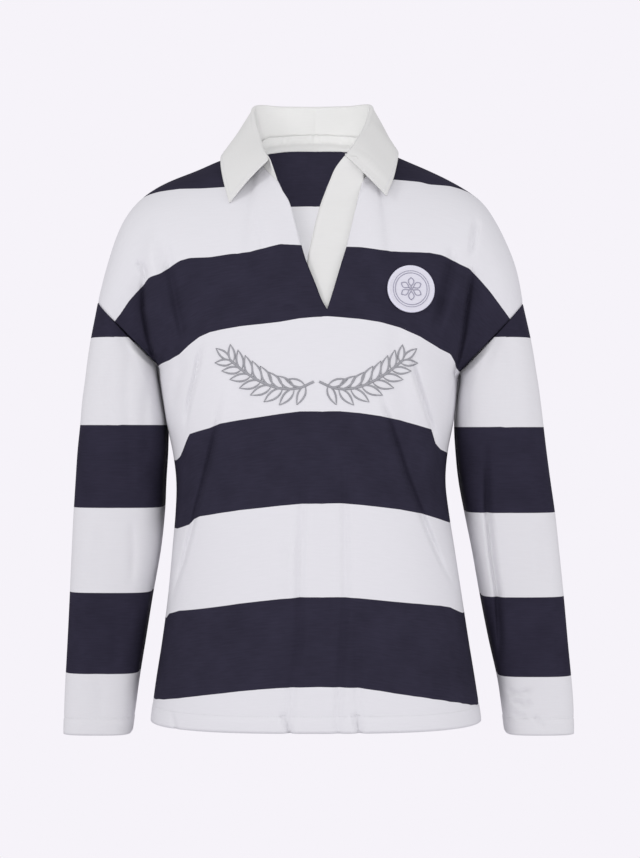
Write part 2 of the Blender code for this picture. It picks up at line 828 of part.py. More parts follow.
def patch_solid(tree):
    centre, rings = patch_disc(tree)
    turns = len(rings[0])
    points = [centre] + [point for ring in rings for point in ring]
    faces = []
    for turn in range(turns):
        after = (turn + 1) % turns
        faces.append([0, 1 + turn, 1 + after])
    for ring in range(len(rings) - 1):
        low = 1 + ring * turns
        high = low + turns
        for turn in range(turns):
            after = (turn + 1) % turns
            faces.append([low + turn, high + turn, high + after, low + after])
    normal = (rings[-1][0] - centre).cross(rings[-1][turns // 4] - centre).normalized()
    count = len(points)
    back = [point - normal * PATCH_WALL for point in points]
    faces_back = [[corner + count for corner in reversed(face)] for face in faces]
    rims = []
    last = 1 + (len(rings) - 1) * turns
    for turn in range(turns):
        after = (turn + 1) % turns
        rims.append([last + after, last + turn, last + turn + count, last + after + count])
    return points + back, faces + faces_back + rims


def add_piece(name, material, points, faces):
    """Mesh object in metres with its own material, faces turned outward."""
    mesh = bpy.data.meshes.new(name)
    mesh.from_pydata([tuple(point * MM) for point in points], [], faces)
    mesh.validate()
    working = bmesh.new()
    working.from_mesh(mesh)
    bmesh.ops.recalc_face_normals(working, faces=working.faces)
    working.to_mesh(mesh)
    working.free()
    for polygon in mesh.polygons:
        polygon.use_smooth = True
    piece = bpy.data.objects.new(name, mesh)
    bpy.context.scene.collection.objects.link(piece)
    finish = bpy.data.materials.new(name)
    finish.use_nodes = True
    shader = finish.node_tree.nodes["Principled BSDF"]
    shader.inputs["Base Color"].default_value = (*COLOURS[material], 1.0)
    shader.inputs["Roughness"].default_value = 0.85
    mesh.materials.append(finish)
    return piece


def main():
    for thing in list(bpy.data.objects):
        bpy.data.objects.remove(thing)
    torso = Torso()
    cloth = body_cloth(torso)
    steps = cloth.inward_steps(BODY_WALL)
    for side in (-1, 1):
        underarm = cloth.index(torso.armhole_point("front", side, 0.0))
        steps[underarm] = Vector((0, 0, UNDERARM_WALL))
    solids = {}
    for piece, aside in (("front", 0), ("back", 0), ("sleeve_right", -1), ("sleeve_left", 1)):
        points, faces = cloth.solid(piece, steps)
        points = [point + Vector((aside * SLEEVE_CLEARANCE, 0, 0)) for point in points]
        solids[piece] = (points, faces)
        add_piece(piece, "jersey", points, faces)
    outside = {}
    inside = {}
    for piece in ("front", "back"):
        points, faces = solids[piece]
        count = len(cloth.faces[piece])
        outside[piece] = surface_tree(points, faces[:count])
        inside[piece] = surface_tree(points, faces[count:2 * count])
    collar = Collar(torso, list(outside.values()))
    add_piece("collar", "twill", *sheet_solid(collar.rows(), COLLAR_WALL, True))
    add_piece("neck_tape", "twill", *sheet_solid(neck_tape(torso, inside["back"]), TAPE_WALL, True))
    add_piece("placket_strip", "twill", *sheet_solid(placket_strip(inside["front"]), COLLAR_WALL, False))
    add_piece("chest_patch", "patch", *patch_solid(outside["front"]))


main()
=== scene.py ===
"""Looks of the long-sleeved striped polo shirt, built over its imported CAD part.

Tables and working lengths are in millimetres, meshes in metres.  X runs to the viewer's right,
the front faces -Y, +Z is up.  Left and right in piece names are the wearer's.  A side is -1 for
the wearer's right and 1 for the left.
"""
from __future__ import annotations

import logging
import math
from bisect import bisect_left
from dataclasses import dataclass, field
from enum import Enum
from typing import Callable, NamedTuple, Sequence

import bmesh
import bpy
from mathutils import Matrix, Vector
from mathutils.bvhtree import BVHTree

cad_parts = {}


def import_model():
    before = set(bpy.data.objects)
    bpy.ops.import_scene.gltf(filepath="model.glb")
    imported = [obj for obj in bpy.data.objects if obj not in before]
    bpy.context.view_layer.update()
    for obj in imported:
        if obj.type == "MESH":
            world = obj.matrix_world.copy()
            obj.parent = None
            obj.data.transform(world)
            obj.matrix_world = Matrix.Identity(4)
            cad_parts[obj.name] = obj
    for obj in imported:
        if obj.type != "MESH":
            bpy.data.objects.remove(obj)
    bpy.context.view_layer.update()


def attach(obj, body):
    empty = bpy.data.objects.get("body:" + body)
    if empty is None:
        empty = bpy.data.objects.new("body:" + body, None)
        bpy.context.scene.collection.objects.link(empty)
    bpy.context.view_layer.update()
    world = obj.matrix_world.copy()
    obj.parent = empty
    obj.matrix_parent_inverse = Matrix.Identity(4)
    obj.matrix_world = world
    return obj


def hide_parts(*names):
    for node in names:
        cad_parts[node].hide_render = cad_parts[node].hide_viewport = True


Piece = bpy.types.Object
Material = bpy.types.Material
Triple = tuple[float, float, float]
Pairs = Sequence[tuple[float, float]]
Surface = Callable[[float, float], "Place"]

LOG = logging.getLogger("polo_shirt")
MM = 0.001
SIDES = (-1, 1)

# Walls and sewing
BODY_WALL = 1.6
COLLAR_WALL = 1.5
SEAM_SINK = 0.8
HEM_TURN = 18.5
GROOVE_DEPTH = 0.55
GROOVE_WIDTH = 1.6
TURN_HEIGHT = 0.35
THREAD_RADIUS = 0.42
THREAD_SINK = 0.08
STITCH_WALL = 0.1
SATIN_COLUMNS = 6
SATIN_STEP = 1.2
BESIDE_LIMIT = 2.5

# Faces of the grids of body and sleeves
LOWER_ROWS = 125
UPPER_ROWS = 82
SLEEVE_GRID = (110, 170)

# Torso
HEM_HEIGHT = -645.0
RING_POWER = 2.75
SLIT_ANGLE = math.radians(2.9)

# Armhole and sleeve
ARMHOLE_HALF_DEPTH = 57.0
ARMHOLE_SQUARE = 0.3
SLEEVE_SQUARE = 0.43
SLEEVE_POWER = 2.7
INNER_POWER = 4.0
SLEEVE_TOP_INNER = -242.6
SLEEVE_TOP_OUTER = -170.1
SLEEVE_LAST_RING = 19
CUFF_HEIGHT = -662.0
CUFF_STITCH_RING = 18.15
SLEEVE_SOFTENING = 4

# Bands
BACK_REACH = 165.0
BACK_LEVEL_START = 60.0
UPPER_LEVEL_RISE = 0.78
SLIT_TOP_LEVEL = 199.0
SLIT_TOP_REACH = 0.42

# Folds fade out towards side and armhole seams, and stay full where they run out at an edge
SIDE_FADE = 16.0
ARMHOLE_FADE = 6.0
TO_EDGE = (0.3, 0)


def ease(low: float, high: float, value: float) -> float:
    """Smooth step.

    Args:
        low: Where the step is 0.
        high: Where the step is 1.
        value: Where to read it.

    Returns:
        A value from 0 to 1.
    """
    u = min(max((value - low) / (high - low), 0.0), 1.0)
    return u * u * (3 - 2 * u)


def between(pairs: Pairs, key: float) -> float:
    """Straight-line value in pairs with rising keys.

    Args:
        pairs: Pairs (key, value).
        key: Where to read.

    Returns:
        The value, held beyond both ends.
    """
    if key <= pairs[0][0]:
        return pairs[0][1]
    for (low, start), (high, end) in zip(pairs, pairs[1:]):
        if key <= high:
            return start + (end - start) * (key - low) / (high - low)
    return pairs[-1][1]


def heading(line: Callable[[float], Vector], share: float, step: float) -> Vector:
    """Way from just before to just after a place on a line.

    Args:
        line: Point for a share of the line.
        share: The place.
        step: Share to go to both sides.

    Returns:
        The way, not of unit length.
    """
    return line(min(share + step, 1.0)) - line(max(share - step, 0.0))


class Smooth:
    """Smooth value between keyed values, held beyond both ends."""

    def __init__(self, keys: Sequence[float], values: Sequence[float]) -> None:
        """Find the slope at each key.

        Args:
            keys: Keys in any order.
            values: Value at each key.
        """
        self.keys, self.values = zip(*sorted(zip(keys, values)))
        self.slopes = []
        for index in range(len(self.keys)):
            low, high = max(index - 1, 0), min(index + 1, len(self.keys) - 1)
            rise = self.values[high] - self.values[low]
            self.slopes.append(rise / (self.keys[high] - self.keys[low]))

    def at(self, key: float) -> float:
        """Value at a key.

        Args:
            key: Where to read.

        Returns:
            The value.
        """
        if key <= self.keys[0]:
            return self.values[0]
        if key >= self.keys[-1]:
            return self.values[-1]
        index = bisect_left(self.keys, key) - 1
        span = self.keys[index + 1] - self.keys[index]
        u = (key - self.keys[index]) / span
        start = (1 + 2 * u) * (1 - u) ** 2 * self.values[index]
        start_slope = u * (1 - u) ** 2 * span * self.slopes[index]
        end = u * u * (3 - 2 * u) * self.values[index + 1]
        end_slope = u * u * (u - 1) * span * self.slopes[index + 1]
        return start + start_slope + end + end_slope


class Table:
    """Rows of numbers under named columns."""

    def __init__(self, names: str, *rows: Sequence[float]) -> None:
        """Sort the rows into columns.

        Args:
            names: Names of the columns.
            rows: One number for each column.
        """
        self.columns = dict(zip(names.split(), zip(*rows)))

    def curve(self, key: str, column: str) -> Smooth:
        """Smooth curve of one column over another.

        Args:
            key: Column to read by.
            column: Column that is read.

        Returns:
            The curve.
        """
        return Smooth(self.columns[key], self.columns[column])


class Path:
    """Smooth line through points, read by the share of its length."""

    def __init__(self, points: Sequence[Sequence[float]]) -> None:
        """Measure the line.

        Args:
            points: Points (x, y, z).
        """
        reached = [0.0]
        for first, second in zip(points, points[1:]):
            reached.append(reached[-1] + (Vector(second) - Vector(first)).length)
        self.length = reached[-1]
        shares = [value / self.length for value in reached]
        self.axes = [Smooth(shares, values) for values in zip(*points)]

    def at(self, share: float) -> Vector:
        """Point at a share of the length, from 0 to 1."""
        return Vector([axis.at(share) for axis in self.axes])


@dataclass(frozen=True)
class Fold:
    """One crease of the cloth, drawn in front view from its top down.

    Attributes:
        height: How far it stands out; below zero it is a trough.
        width: Half width of its profile.
        line: Points (x, z) along the crease.
        shelf: Depth of the cloth that lies lower beside it, to its left if below zero.
        reach: How far that lower cloth takes to come back.
        tapers: Shares of the line over which it fades in and out.
    """

    height: float
    width: float
    line: tuple[tuple[float, float], ...]
    shelf: float = 0.0
    reach: float = 12.0
    tapers: tuple[float, float] = (0.3, 0.3)

    def at(self, x: float, z: float) -> float:
        """Height of the fold at a place.

        Args:
            x: Place across.
            z: Place in height.

        Returns:
            Displacement in millimetres.
        """
        span = max(self.width * 2.6, self.reach * 3.0 if self.shelf else 0.0)
        if not min(point[1] for point in self.line) - span < z < self.line[0][1] + span:
            return 0.0
        best = (1e9, 1.0, 0.0)
        total = len(self.line) - 1
        for index, ((ax, az), (bx, bz)) in enumerate(zip(self.line, self.line[1:])):
            dx, dz = bx - ax, bz - az
            share = ((x - ax) * dx + (z - az) * dz) / (dx * dx + dz * dz)
            share = min(max(share, 0.0), 1.0)
            distance = math.hypot(x - ax - dx * share, z - az - dz * share)
            if distance < best[0]:
                side = math.copysign(1.0, (x - ax) * dz - (z - az) * dx)
                best = (distance, side, (index + share) / total)
        distance, side, along = best
        if distance > span:
            return 0.0
        result = self.height * math.exp(-((distance / self.width) ** 2))
        if self.shelf:
            lower = -side * math.copysign(distance, self.shelf)
            step = 1.0 / (1.0 + math.exp(max(min(-lower / 0.8, 40.0), -40.0)))
            result -= abs(self.shelf) * step * math.exp(-max(lower, 0.0) / self.reach)
        for taper, way in zip(self.tapers, (along, 1.0 - along)):
            if taper:
                result *= ease(0.0, taper, way)
        return result


# Cross-sections of the torso by height: half widths and depths
TORSO = Table("z wearer_right wearer_left front back",
    (-645, 187.5, 189.8, 118, 114), (-600, 181.5, 182.9, 118.5, 111), (-558, 174.8, 176, 119, 107),
    (-506, 167.9, 167.9, 120, 102), (-454, 163, 159.9, 121, 98), (-410, 159.2, 153, 122, 95),
    (-374, 158.2, 149, 123, 94), (-339, 162.5, 151.8, 124, 95), (-310, 169, 157.6, 125, 97),
    (-282, 173.5, 161.1, 125, 99), (-250, 177.8, 163.5, 123.5, 101), (-200, 180, 164, 117.5, 101),
    (-185, 180, 164, 114, 101),
)

# Share of the fall of the underarm row from the centre to the side seam
UNDERARM_ROW = Table("across front back",
    (0, 0, 0), (0.2, 0.12, 0.06), (0.4, 0.28, 0.22), (0.5, 0.45, 0.36), (0.6, 0.67, 0.52),
    (0.7, 0.84, 0.68), (0.85, 0.95, 0.9), (1, 1, 1),
)

# Armhole ends in front view: underarm point and shoulder point, as (x, z)
ARMHOLE = {
    -1: ((-178.3, -242.6), (-248.4, -170.1)),
    1: ((163.3, -251.8), (238, -171.3)),
}

# Shoulder ridge from the neck to the armhole, (x, y, z)
RIDGE = {
    -1: ((-66, 5, 11), (-85, 6, 4), (-112.7, 7, -6), (-134.6, 7, -16), (-169, 6, -30),
         (-190, 5, -42), (-207, 4, -57), (-220, 3, -76), (-229.2, 2, -98), (-236.2, 1, -121),
         (-242.4, 0.5, -144), (-248.4, 0, -170.1)),
    1: ((66, 5, 11), (84, 6, 4), (107, 7, -6), (129.9, 7, -16), (154.1, 6, -28), (176, 5, -41),
         (192.5, 4, -54), (206.5, 3, -75), (218, 2, -98), (227.4, 1, -121), (233.6, 0.5, -144),
         (238, 0, -171.3)),
}

# Neck seam from centre back over the shoulder to the front end, (x, y, z)
NECK_BACK = {
    -1: ((0, 68, 32), (-36, 60, 29), (-58, 35, 22), (-66, 5, 11)),
    1: ((0, 68, 32), (36, 60, 29), (58, 35, 22), (66, 5, 11)),
}
NECK_FRONT = {
    -1: ((-66, 5, 11), (-66.5, -13, 4.5), (-63.5, -32, -8), (-56, -48.5, -23), (-42.2, -62, -38.6)),
    1: ((66, 5, 11), (67, -13, 4.5), (66, -32, -8), (62.5, -48.5, -22.5), (54.8, -62, -37.5)),
}
NECK_STRIP = (
    (54.8, -62, -37.5), (38, -61.5, -36.5), (19, -59, -33),
)

# Edges of the neck slit from its bottom to the neck seam, (x, y, z)
SLIT_EDGE = {
    -1: ((13.3, -114, -185), (7.9, -111, -174.9), (-0.8, -104.5, -152.6), (-9.6, -97, -130.1),
         (-14.4, -91, -113.9), (-27.9, -73.5, -64.6), (-36.5, -66, -49), (-42.2, -62, -38.6)),
    1: ((13.3, -114, -185), (16.8, -111, -174.8), (23.4, -104.5, -152.7), (30, -97, -130.4),
         (34.8, -91, -114.5), (44.8, -76, -72.7), (54.8, -62, -37.5)),
}
CENTRE_BACK = (
    (0, 101, -200), (0, 106, -150), (0, 108, -110), (0, 104, -60), (0, 93, -15), (0, 80, 12),
    (0, 68, 32),
)

# Sleeve by ring: heights of its inner and outer line, depth and roundness
SLEEVE_RINGS = Table("ring inner_z outer_z half_depth roundness",
    (1, -249.5, -181, 57.5, 0.25), (2, -257, -193, 58, 0.5), (3, -267, -208, 58.5, 0.75),
    (4, -280, -227, 59, 0.92), (5, -296, -250, 59, 1), (6, -314, -277, 58.5, 1),
    (7, -334, -307, 57.5, 1), (8, -357, -339, 56, 1), (9, -382, -372, 54, 1),
    (10, -408, -404, 51.5, 1), (11, -435, -435, 49, 1), (12, -463, -463, 46.5, 1),
    (13, -492, -492, 44, 1), (14, -522, -522, 41.5, 1), (15, -553, -553, 39, 1),
    (16, -583, -583, 36.5, 1), (17, -612, -612, 34.5, 1), (18, -639, -639, 33, 1),
    (19, -662, -662, 32, 1),
)

# Sleeve edges in front view
SLEEVE_OUTLINE = {
    -1: Table("z inner outer",
        (-170.1, -179.5, -248.4), (-213, -179.5, -255.3), (-242.6, -179.5, -259.2),
        (-258, -177.8, -261), (-282, -174.4, -264.4), (-310, -170.2, -266.9), (-339, -170.2, -270),
        (-374, -172.2, -272.5), (-410, -173.7, -274.9), (-454, -178.3, -277.3),
        (-506, -187.3, -279.9), (-558, -195.5, -282.7), (-601, -202.4, -285.2),
        (-627, -205.9, -286.4), (-662, -210.5, -287.5)),
    1: Table("z inner outer",
        (-171.3, 164.8, 238), (-213, 164.8, 246), (-251.8, 164.8, 252), (-265, 163.8, 254.2),
        (-282, 162, 256.5), (-310, 161.2, 259.9), (-339, 162.6, 263.4), (-374, 166, 268.2),
        (-410, 172.5, 273.5), (-454, 181.3, 278.5), (-506, 190.4, 284), (-558, 200.5, 288.9),
        (-601, 210.2, 293.2), (-627, 214.2, 295.3), (-662, 218.5, 296)),
}

# Collar rails from centre back to the front ends, (x, y, z)
COLLAR_ROLL = {
    -1: ((0, 60, 66.5), (-38, 55, 66), (-70, 36, 63.5), (-72, 14, 47.5), (-64.5, -16, 21),
         (-58.5, -42, 1.5), (-52.2, -60, -12)),
    1: ((0, 60, 66.5), (38, 55, 66.5), (65, 36, 64.5), (62.5, 12, 47), (55.5, -12, 28.5),
         (47.7, -34, 13), (35.9, -57, -7.1)),
}
COLLAR_EDGE = {
    -1: ((0, 87, 6), (-40, 84, 5), (-73, 73, 6), (-96, 46, 7), (-105.5, 10, 4), (-108, -14, -7),
         (-104.5, -38, -30), (-95.6, -64, -63.3)),
    1: ((0, 87, 6), (40, 84, 5), (70, 73, 7), (88, 46, 10), (94, 12, 8), (95.5, -12, -1),
         (90.5, -38, -25), (80.4, -64, -55.5)),
}

# Shares of the collar's three rails that belong together
COLLAR_PACE = {
    -1: Table("neck roll edge",
        (0, 0, 0), (0.53, 0.55, 0.58), (0.8, 0.82, 0.83), (1, 1, 1)),
    1: Table("neck roll edge",
        (0, 0, 0), (0.45, 0.54, 0.58), (0.66, 0.78, 0.8), (0.83, 0.94, 0.93), (1, 1, 1)),
}

# Placket strip by height: seam side and free side, across and in depth
PLACKET_STRIP = Table("z seam_x free_x seam_y free_y",
    (-10, 46, 33, -59, -59), (-24, 53.5, 22.8, -61.2, -61), (-38.5, 54.5, 16.4, -62.2, -61.6),
    (-52, 53.6, 11, -64.6, -62), (-68, 50, 5.5, -71.5, -68.5), (-88, 45.4, 0.5, -78.9, -75.5),
    (-108, 40.2, -4, -86, -83), (-128, 35, -8, -93.2, -90.5), (-148, 29.8, -11, -100, -97.5),
    (-168, 24.2, -13.5, -106.2, -104.2), (-189, 19, -16, -111.2, -110),
)

# Lines of equal level on the front as (x, z), keyed by level.  A level is the distance up
# the cloth; the band edges lie at every hundredth.
FRONT_LEVELS = {
    -450: (
        (-250, -645), (250, -645)),
    -400: (
        (-200, -623), (-178, -618.6), (-174, -617), (-149, -611.3), (-126, -606.6), (-103, -602.9),
        (-81, -599.6), (-59, -597.2), (-37.5, -595.4), (6, -594.2), (49, -595.6), (71, -599),
        (93, -603.3), (115, -607.3), (138, -612.2), (161, -618.1), (182, -625.6), (200, -630)),
    -300: (
        (-200, -532), (-167.6, -528), (-163, -521.5), (-150, -516), (-126, -511.9), (-103, -508),
        (-81, -504.3), (-59, -501.4), (-37.5, -498.9), (-16, -497), (27, -496.8), (49, -498.2),
        (71, -500.6), (93, -503.2), (115, -505.8), (138, -509.2), (150, -512.3), (166, -521.6),
        (200, -529)),
    -200: (
        (-200, -427.5), (-154, -426.4), (-138.5, -420.6), (-133, -414.5), (-126.5, -411),
        (-103.5, -406.7), (-81, -403), (-59, -400.5), (-37.5, -398), (-16, -396), (27, -395.3),
        (49, -397), (71, -399.6), (93, -402.5), (115.5, -407.3), (127, -411), (139.5, -415.3),
        (152, -420.5), (190, -424)),
    -100: (
        (-200, -352), (-155, -350), (-150, -346.5), (-146, -339), (-140, -325), (-137.5, -320.5),
        (-126, -317), (-114, -313.7), (-103, -309), (-81, -305.2), (-59, -302), (-37, -298.6),
        (-16, -296), (27, -295.8), (49, -297.7), (71, -300.9), (93, -305.4), (115, -311.5),
        (128.5, -315.5), (133, -331), (139.5, -338), (150, -342.3), (190, -344)),
    0: (
        (-200, -246), (-176, -243.4), (-161, -239), (-149, -233), (-137, -222.6), (-126, -214.3),
        (-114.5, -209.5), (-103, -206.8), (-81, -203.4), (-59, -201.2), (-38, -198.8),
        (-16, -194.9), (13, -192.4), (27, -193.2), (49, -195.3), (71, -198.5), (93, -204.5),
        (115, -214), (127, -221.2), (138, -227.3), (150, -232.5), (161, -249.5), (190, -254)),
    100: (
        (-250, -226), (-217, -187), (-206, -172), (-194, -159), (-183, -148), (-171, -144),
        (-160, -136), (-149, -129.5), (-138, -126.5), (-115, -126), (-93, -122.8), (-71, -121),
        (-60, -118), (-38, -112.3), (-16, -113), (34, -115), (50, -115.8), (72, -118.7),
        (94, -120), (127, -120.3), (139, -122.5), (150, -126.7), (161, -133), (172, -137.5),
        (183.5, -149.5), (195, -162.6), (206, -176.7), (218, -192), (242, -222)),
    200: (
        (-250, -150), (-229, -96), (-220, -74), (-207, -56), (-198, -49.5), (-188, -47),
        (-176, -45), (-153, -43.2), (-129, -44), (-99, -43), (-38, -45.5), (30, -38), (62, -31),
        (87, -33.5), (119, -35.2), (130, -38), (154, -38.2), (166, -40.5), (178, -44),
        (192.5, -53), (206.5, -73.5), (218, -96), (242, -150)),
}

# Levels at the centre back and on the sleeves, as (z, level)
BACK_LEVELS = (
    (-668, -450), (-617.5, -400), (-526, -300), (-427, -200), (-347.5, -100), (-246.5, 0),
    (-147, 100), (-46, 200), (46, 300),
)
SLEEVE_LEVELS = {
    -1: ((-662, -470), (-591.9, -400), (-499.5, -300), (-403.5, -200), (-310.5, -100), (-212.2, 0),
         (-150, 60)),
    1: ((-662, -470), (-595.3, -400), (-504.5, -300), (-409.2, -200), (-312.8, -100), (-212.2, 0),
         (-150, 60)),
}

# Creases, in front view
FRONT_FOLDS = (
    Fold(-9, 2.6, ((-187.1, -128.8), (-189.3, -153.6), (-190.1, -181), (-185.5, -213.1),
         (-180.9, -236), (-178.6, -249.7)), shelf=-11.7, reach=16, tapers=(0.4, 0)),
    Fold(6.6, 9, ((-181, -86.9), (-181.2, -129.1), (-173.1, -170.8), (-165.8, -220.2))),
    Fold(-5.7, 4.5, ((-169.2, -91), (-160.5, -138.8), (-154, -171.9), (-146.5, -205),
         (-142.7, -229.7))),
    Fold(-5.4, 2.4, ((-200.2, -128.1), (-193.2, -132.8), (-188.7, -141.8), (-186.8, -152.7))),
    Fold(-5.4, 2.4, ((-121.8, -214.9), (-129.5, -252.3), (-138, -285.1), (-144.6, -320.6)),
         shelf=-3.1, reach=14),
    Fold(-3.5, 6, ((-142.7, -229.7), (-152.5, -260.4), (-160.4, -293.5))),
    Fold(-6, 2.6, ((-98.9, -261.6), (-106.9, -313.9), (-117.4, -356.8), (-131.4, -406.8),
         (-144.5, -457.5), (-154.3, -486.2), (-164.4, -521.2)), shelf=-2.3, reach=12),
    Fold(-3.1, 12, ((-83.8, -206.9), (-81.2, -283.5), (-94.6, -359.7), (-110.4, -436.6))),
    Fold(-3.2, 4, ((-12.6, -305.3), (-12.6, -391.8), (-15.9, -456.6), (-15.9, -543.1),
         (-24.5, -597.2), (-28.9, -649.1)), tapers=TO_EDGE),
    Fold(2, 7, ((-24.5, -391.8), (-26.7, -499.9), (-35.4, -608.1))),
    Fold(-3.1, 4, ((30.6, -305.3), (32.8, -391.8), (33.9, -500), (27.4, -586.4), (25.2, -649.1)),
         tapers=TO_EDGE),
    Fold(-2.5, 4.5, ((45.8, -500.1), (46.9, -597.5), (49, -649.4)), tapers=TO_EDGE),
    Fold(-2.6, 2.6, ((-38, -184.6), (-28, -183.4), (-17, -184.4))),
    Fold(1.2, 2.6, ((-34, -179), (-20, -178), (-2, -181))),
    Fold(-1.2, 1.6, ((6.8, -190.3), (7.4, -196.2))),
    Fold(-6, 2.4, ((101.9, -228.7), (108.4, -250.5), (115.3, -272.3), (128.1, -310.6),
         (136.6, -336.1)), shelf=3.1, reach=14),
    Fold(-6, 2.6, ((62.1, -248.9), (75.2, -288.9), (87.4, -327), (100.9, -367.5), (115.6, -404),
         (128.2, -435.3), (143.5, -469.5), (165.4, -508.6)), shelf=2.3, reach=12),
    Fold(-9, 2.6, ((173.5, -129.5), (172.6, -146), (168.7, -173.3), (164.6, -209.1), (159.2, -240),
         (156.6, -253.5)), shelf=11.7, reach=16, tapers=(0.4, 0)),
    Fold(6.6, 8, ((167.8, -129.7), (158.8, -155.3), (146.7, -194), (136.1, -227.7))),
    Fold(-5.7, 4.5, ((155.5, -105.3), (148.4, -139.2), (138.3, -178), (130.4, -211.3))),
    Fold(-4.8, 3, ((182.9, -75.1), (177.5, -98.7), (172.4, -129.5))),
    Fold(-2.6, 12, ((93.4, -173.7), (88.5, -239.9), (101.8, -305.2), (120.2, -360.1))),
    Fold(-4.2, 2.2, ((-36.4, -621.1), (-31, -634), (-25.6, -648)), tapers=TO_EDGE),
    Fold(-4.2, 2.2, ((42.5, -621.2), (45.8, -635.3), (49, -648.3)), tapers=TO_EDGE),
    Fold(-3, 2.2, ((-158.2, -628.6), (-153.3, -645.2)), tapers=TO_EDGE),
    Fold(-2.2, 5, ((-71.7, -61.6), (-58, -107.1), (-51.3, -131.9))),
)
BACK_FOLDS = (
    Fold(-3, 3.2, ((-189, -130), (-190, -180), (-184, -215), (-179, -249)), shelf=-5, reach=15,
         tapers=(0.4, 0)),
    Fold(-3, 3.2, ((180, -120), (176, -160), (170, -205), (163, -256)), shelf=5, reach=15,
         tapers=(0.4, 0)),
    Fold(-2, 3.6, ((-150, -262), (-138, -330), (-130, -400), (-132, -470)), shelf=-1.2, reach=14),
    Fold(-2, 3.6, ((138, -262), (126, -320), (118, -390), (122, -460)), shelf=1.2, reach=14),
    Fold(-2.2, 12, ((-96, -300), (-82, -380), (-84, -470), (-92, -600))),
    Fold(-2.2, 12, ((66, -310), (58, -390), (66, -500), (76, -640)), tapers=TO_EDGE),
    Fold(-1.8, 9, ((-8, -360), (-6, -480), (-12, -650)), tapers=TO_EDGE),
    Fold(-1.4, 6, ((30, -420), (36, -520), (32, -650)), tapers=TO_EDGE),
    Fold(-1.4, 8, ((-100, -64), (-62, -90), (-20, -98))),
    Fold(-1.4, 8, ((102, -60), (64, -88), (22, -100))),
    Fold(-1.4, 5, ((-130, -560), (-138, -600), (-140, -650)), tapers=(0.4, 0)),
)
SLEEVE_FOLDS = {
    -1: (
        Fold(-2, 5, ((-208.2, -220.4), (-210.4, -282.4), (-207, -349.9), (-205.9, -411.8))),
        Fold(-1.6, 6, ((-185.6, -250.8), (-190.1, -304.9), (-185.6, -361.2))),
        Fold(-1.3, 5, ((-228.4, -228.3), (-230.7, -276.7), (-227.3, -310.5))),
        Fold(-1.8, 4, ((-205.9, -411.8), (-203.7, -451.2), (-207, -496.3))),
        Fold(-1.8, 6, ((-225, -513.1), (-226.2, -552.6), (-223.9, -588.6))),
        Fold(-1.3, 8, ((-247.6, -417.5), (-244.2, -462.5), (-246.4, -507.5))),
        Fold(-1.3, 7, ((-257.7, -552.6), (-241.9, -608.8), (-244.2, -653.9))),
    ),
    1: (
        Fold(-7.8, 3, ((191.5, -310.5), (192.6, -361.2), (193.8, -406.2), (199.4, -456.9),
             (206.2, -501.9), (209.5, -552.6), (208.4, -588.6)), shelf=-2.9, reach=12),
        Fold(-5.4, 3.2, ((167.9, -394.9), (174.6, -428.7), (183.6, -468.1), (190.4, -505.3))),
        Fold(-1.3, 6, ((208.4, -214.8), (215.2, -259.8), (214, -310.5))),
        Fold(-3.4, 2.6, ((213, -611), (230, -615.5), (249, -608))),
        Fold(-3.2, 2.4, ((217, -620), (235, -627), (247, -624))),
        Fold(-2.4, 2.6, ((246, -638), (258, -655))),
        Fold(-1.8, 2.4, ((222, -636), (232, -641), (240, -639))),
        Fold(-1.1, 8, ((242.2, -226.1), (248.9, -282.4), (246.7, -327.4))),
        Fold(-1.3, 8, ((253.4, -417.5), (259.1, -462.5), (262.4, -518.8))),
    ),
}
SLEEVE_BACK_FOLDS = {
    -1: (
        Fold(-2.2, 5, ((-262, -396), (-238, -412), (-206, -408))),
        Fold(-1.8, 5, ((-256, -424), (-230, -434), (-200, -424))),
        Fold(-1.8, 7, ((-222, -270), (-216, -330), (-222, -388))),
        Fold(-1.8, 6, ((-232, -450), (-238, -520), (-246, -590))),
        Fold(-1.4, 3.6, ((-264, -610), (-250, -622), (-232, -618))),
    ),
    1: (
        Fold(-2.2, 5, ((206, -410), (232, -420), (258, -402))),
        Fold(-1.6, 5, ((204, -436), (228, -446), (252, -432))),
        Fold(-1.8, 7, ((204, -280), (212, -340), (210, -396))),
        Fold(-1.8, 6, ((236, -460), (244, -530), (256, -600))),
        Fold(-1.4, 3.6, ((240, -616), (258, -628), (274, -620))),
    ),
}


class Panel(Enum):
    """Front or back half of the body or of a sleeve, with its way along Y."""

    FRONT = -1
    BACK = 1


def armhole(panel: Panel, side: int, share: float, square: bool = True) -> Vector:
    """Point of an armhole from the underarm (0) to the shoulder (1).

    Args:
        panel: Front or back.
        side: Side of the wearer.
        share: Share of the way up.
        square: Whether the cloth is flattened towards the underarm.

    Returns:
        The point.
    """
    (low_x, low_z), (high_x, high_z) = ARMHOLE[side]
    climb = math.sin(share * math.pi / 2)
    bow = max(math.sin(share * math.pi), 0.0)
    if square and share < 0.5:
        bow **= ARMHOLE_SQUARE
    return Vector((low_x + (high_x - low_x) * climb, panel.value * ARMHOLE_HALF_DEPTH * bow,
                   low_z + (high_z - low_z) * climb))


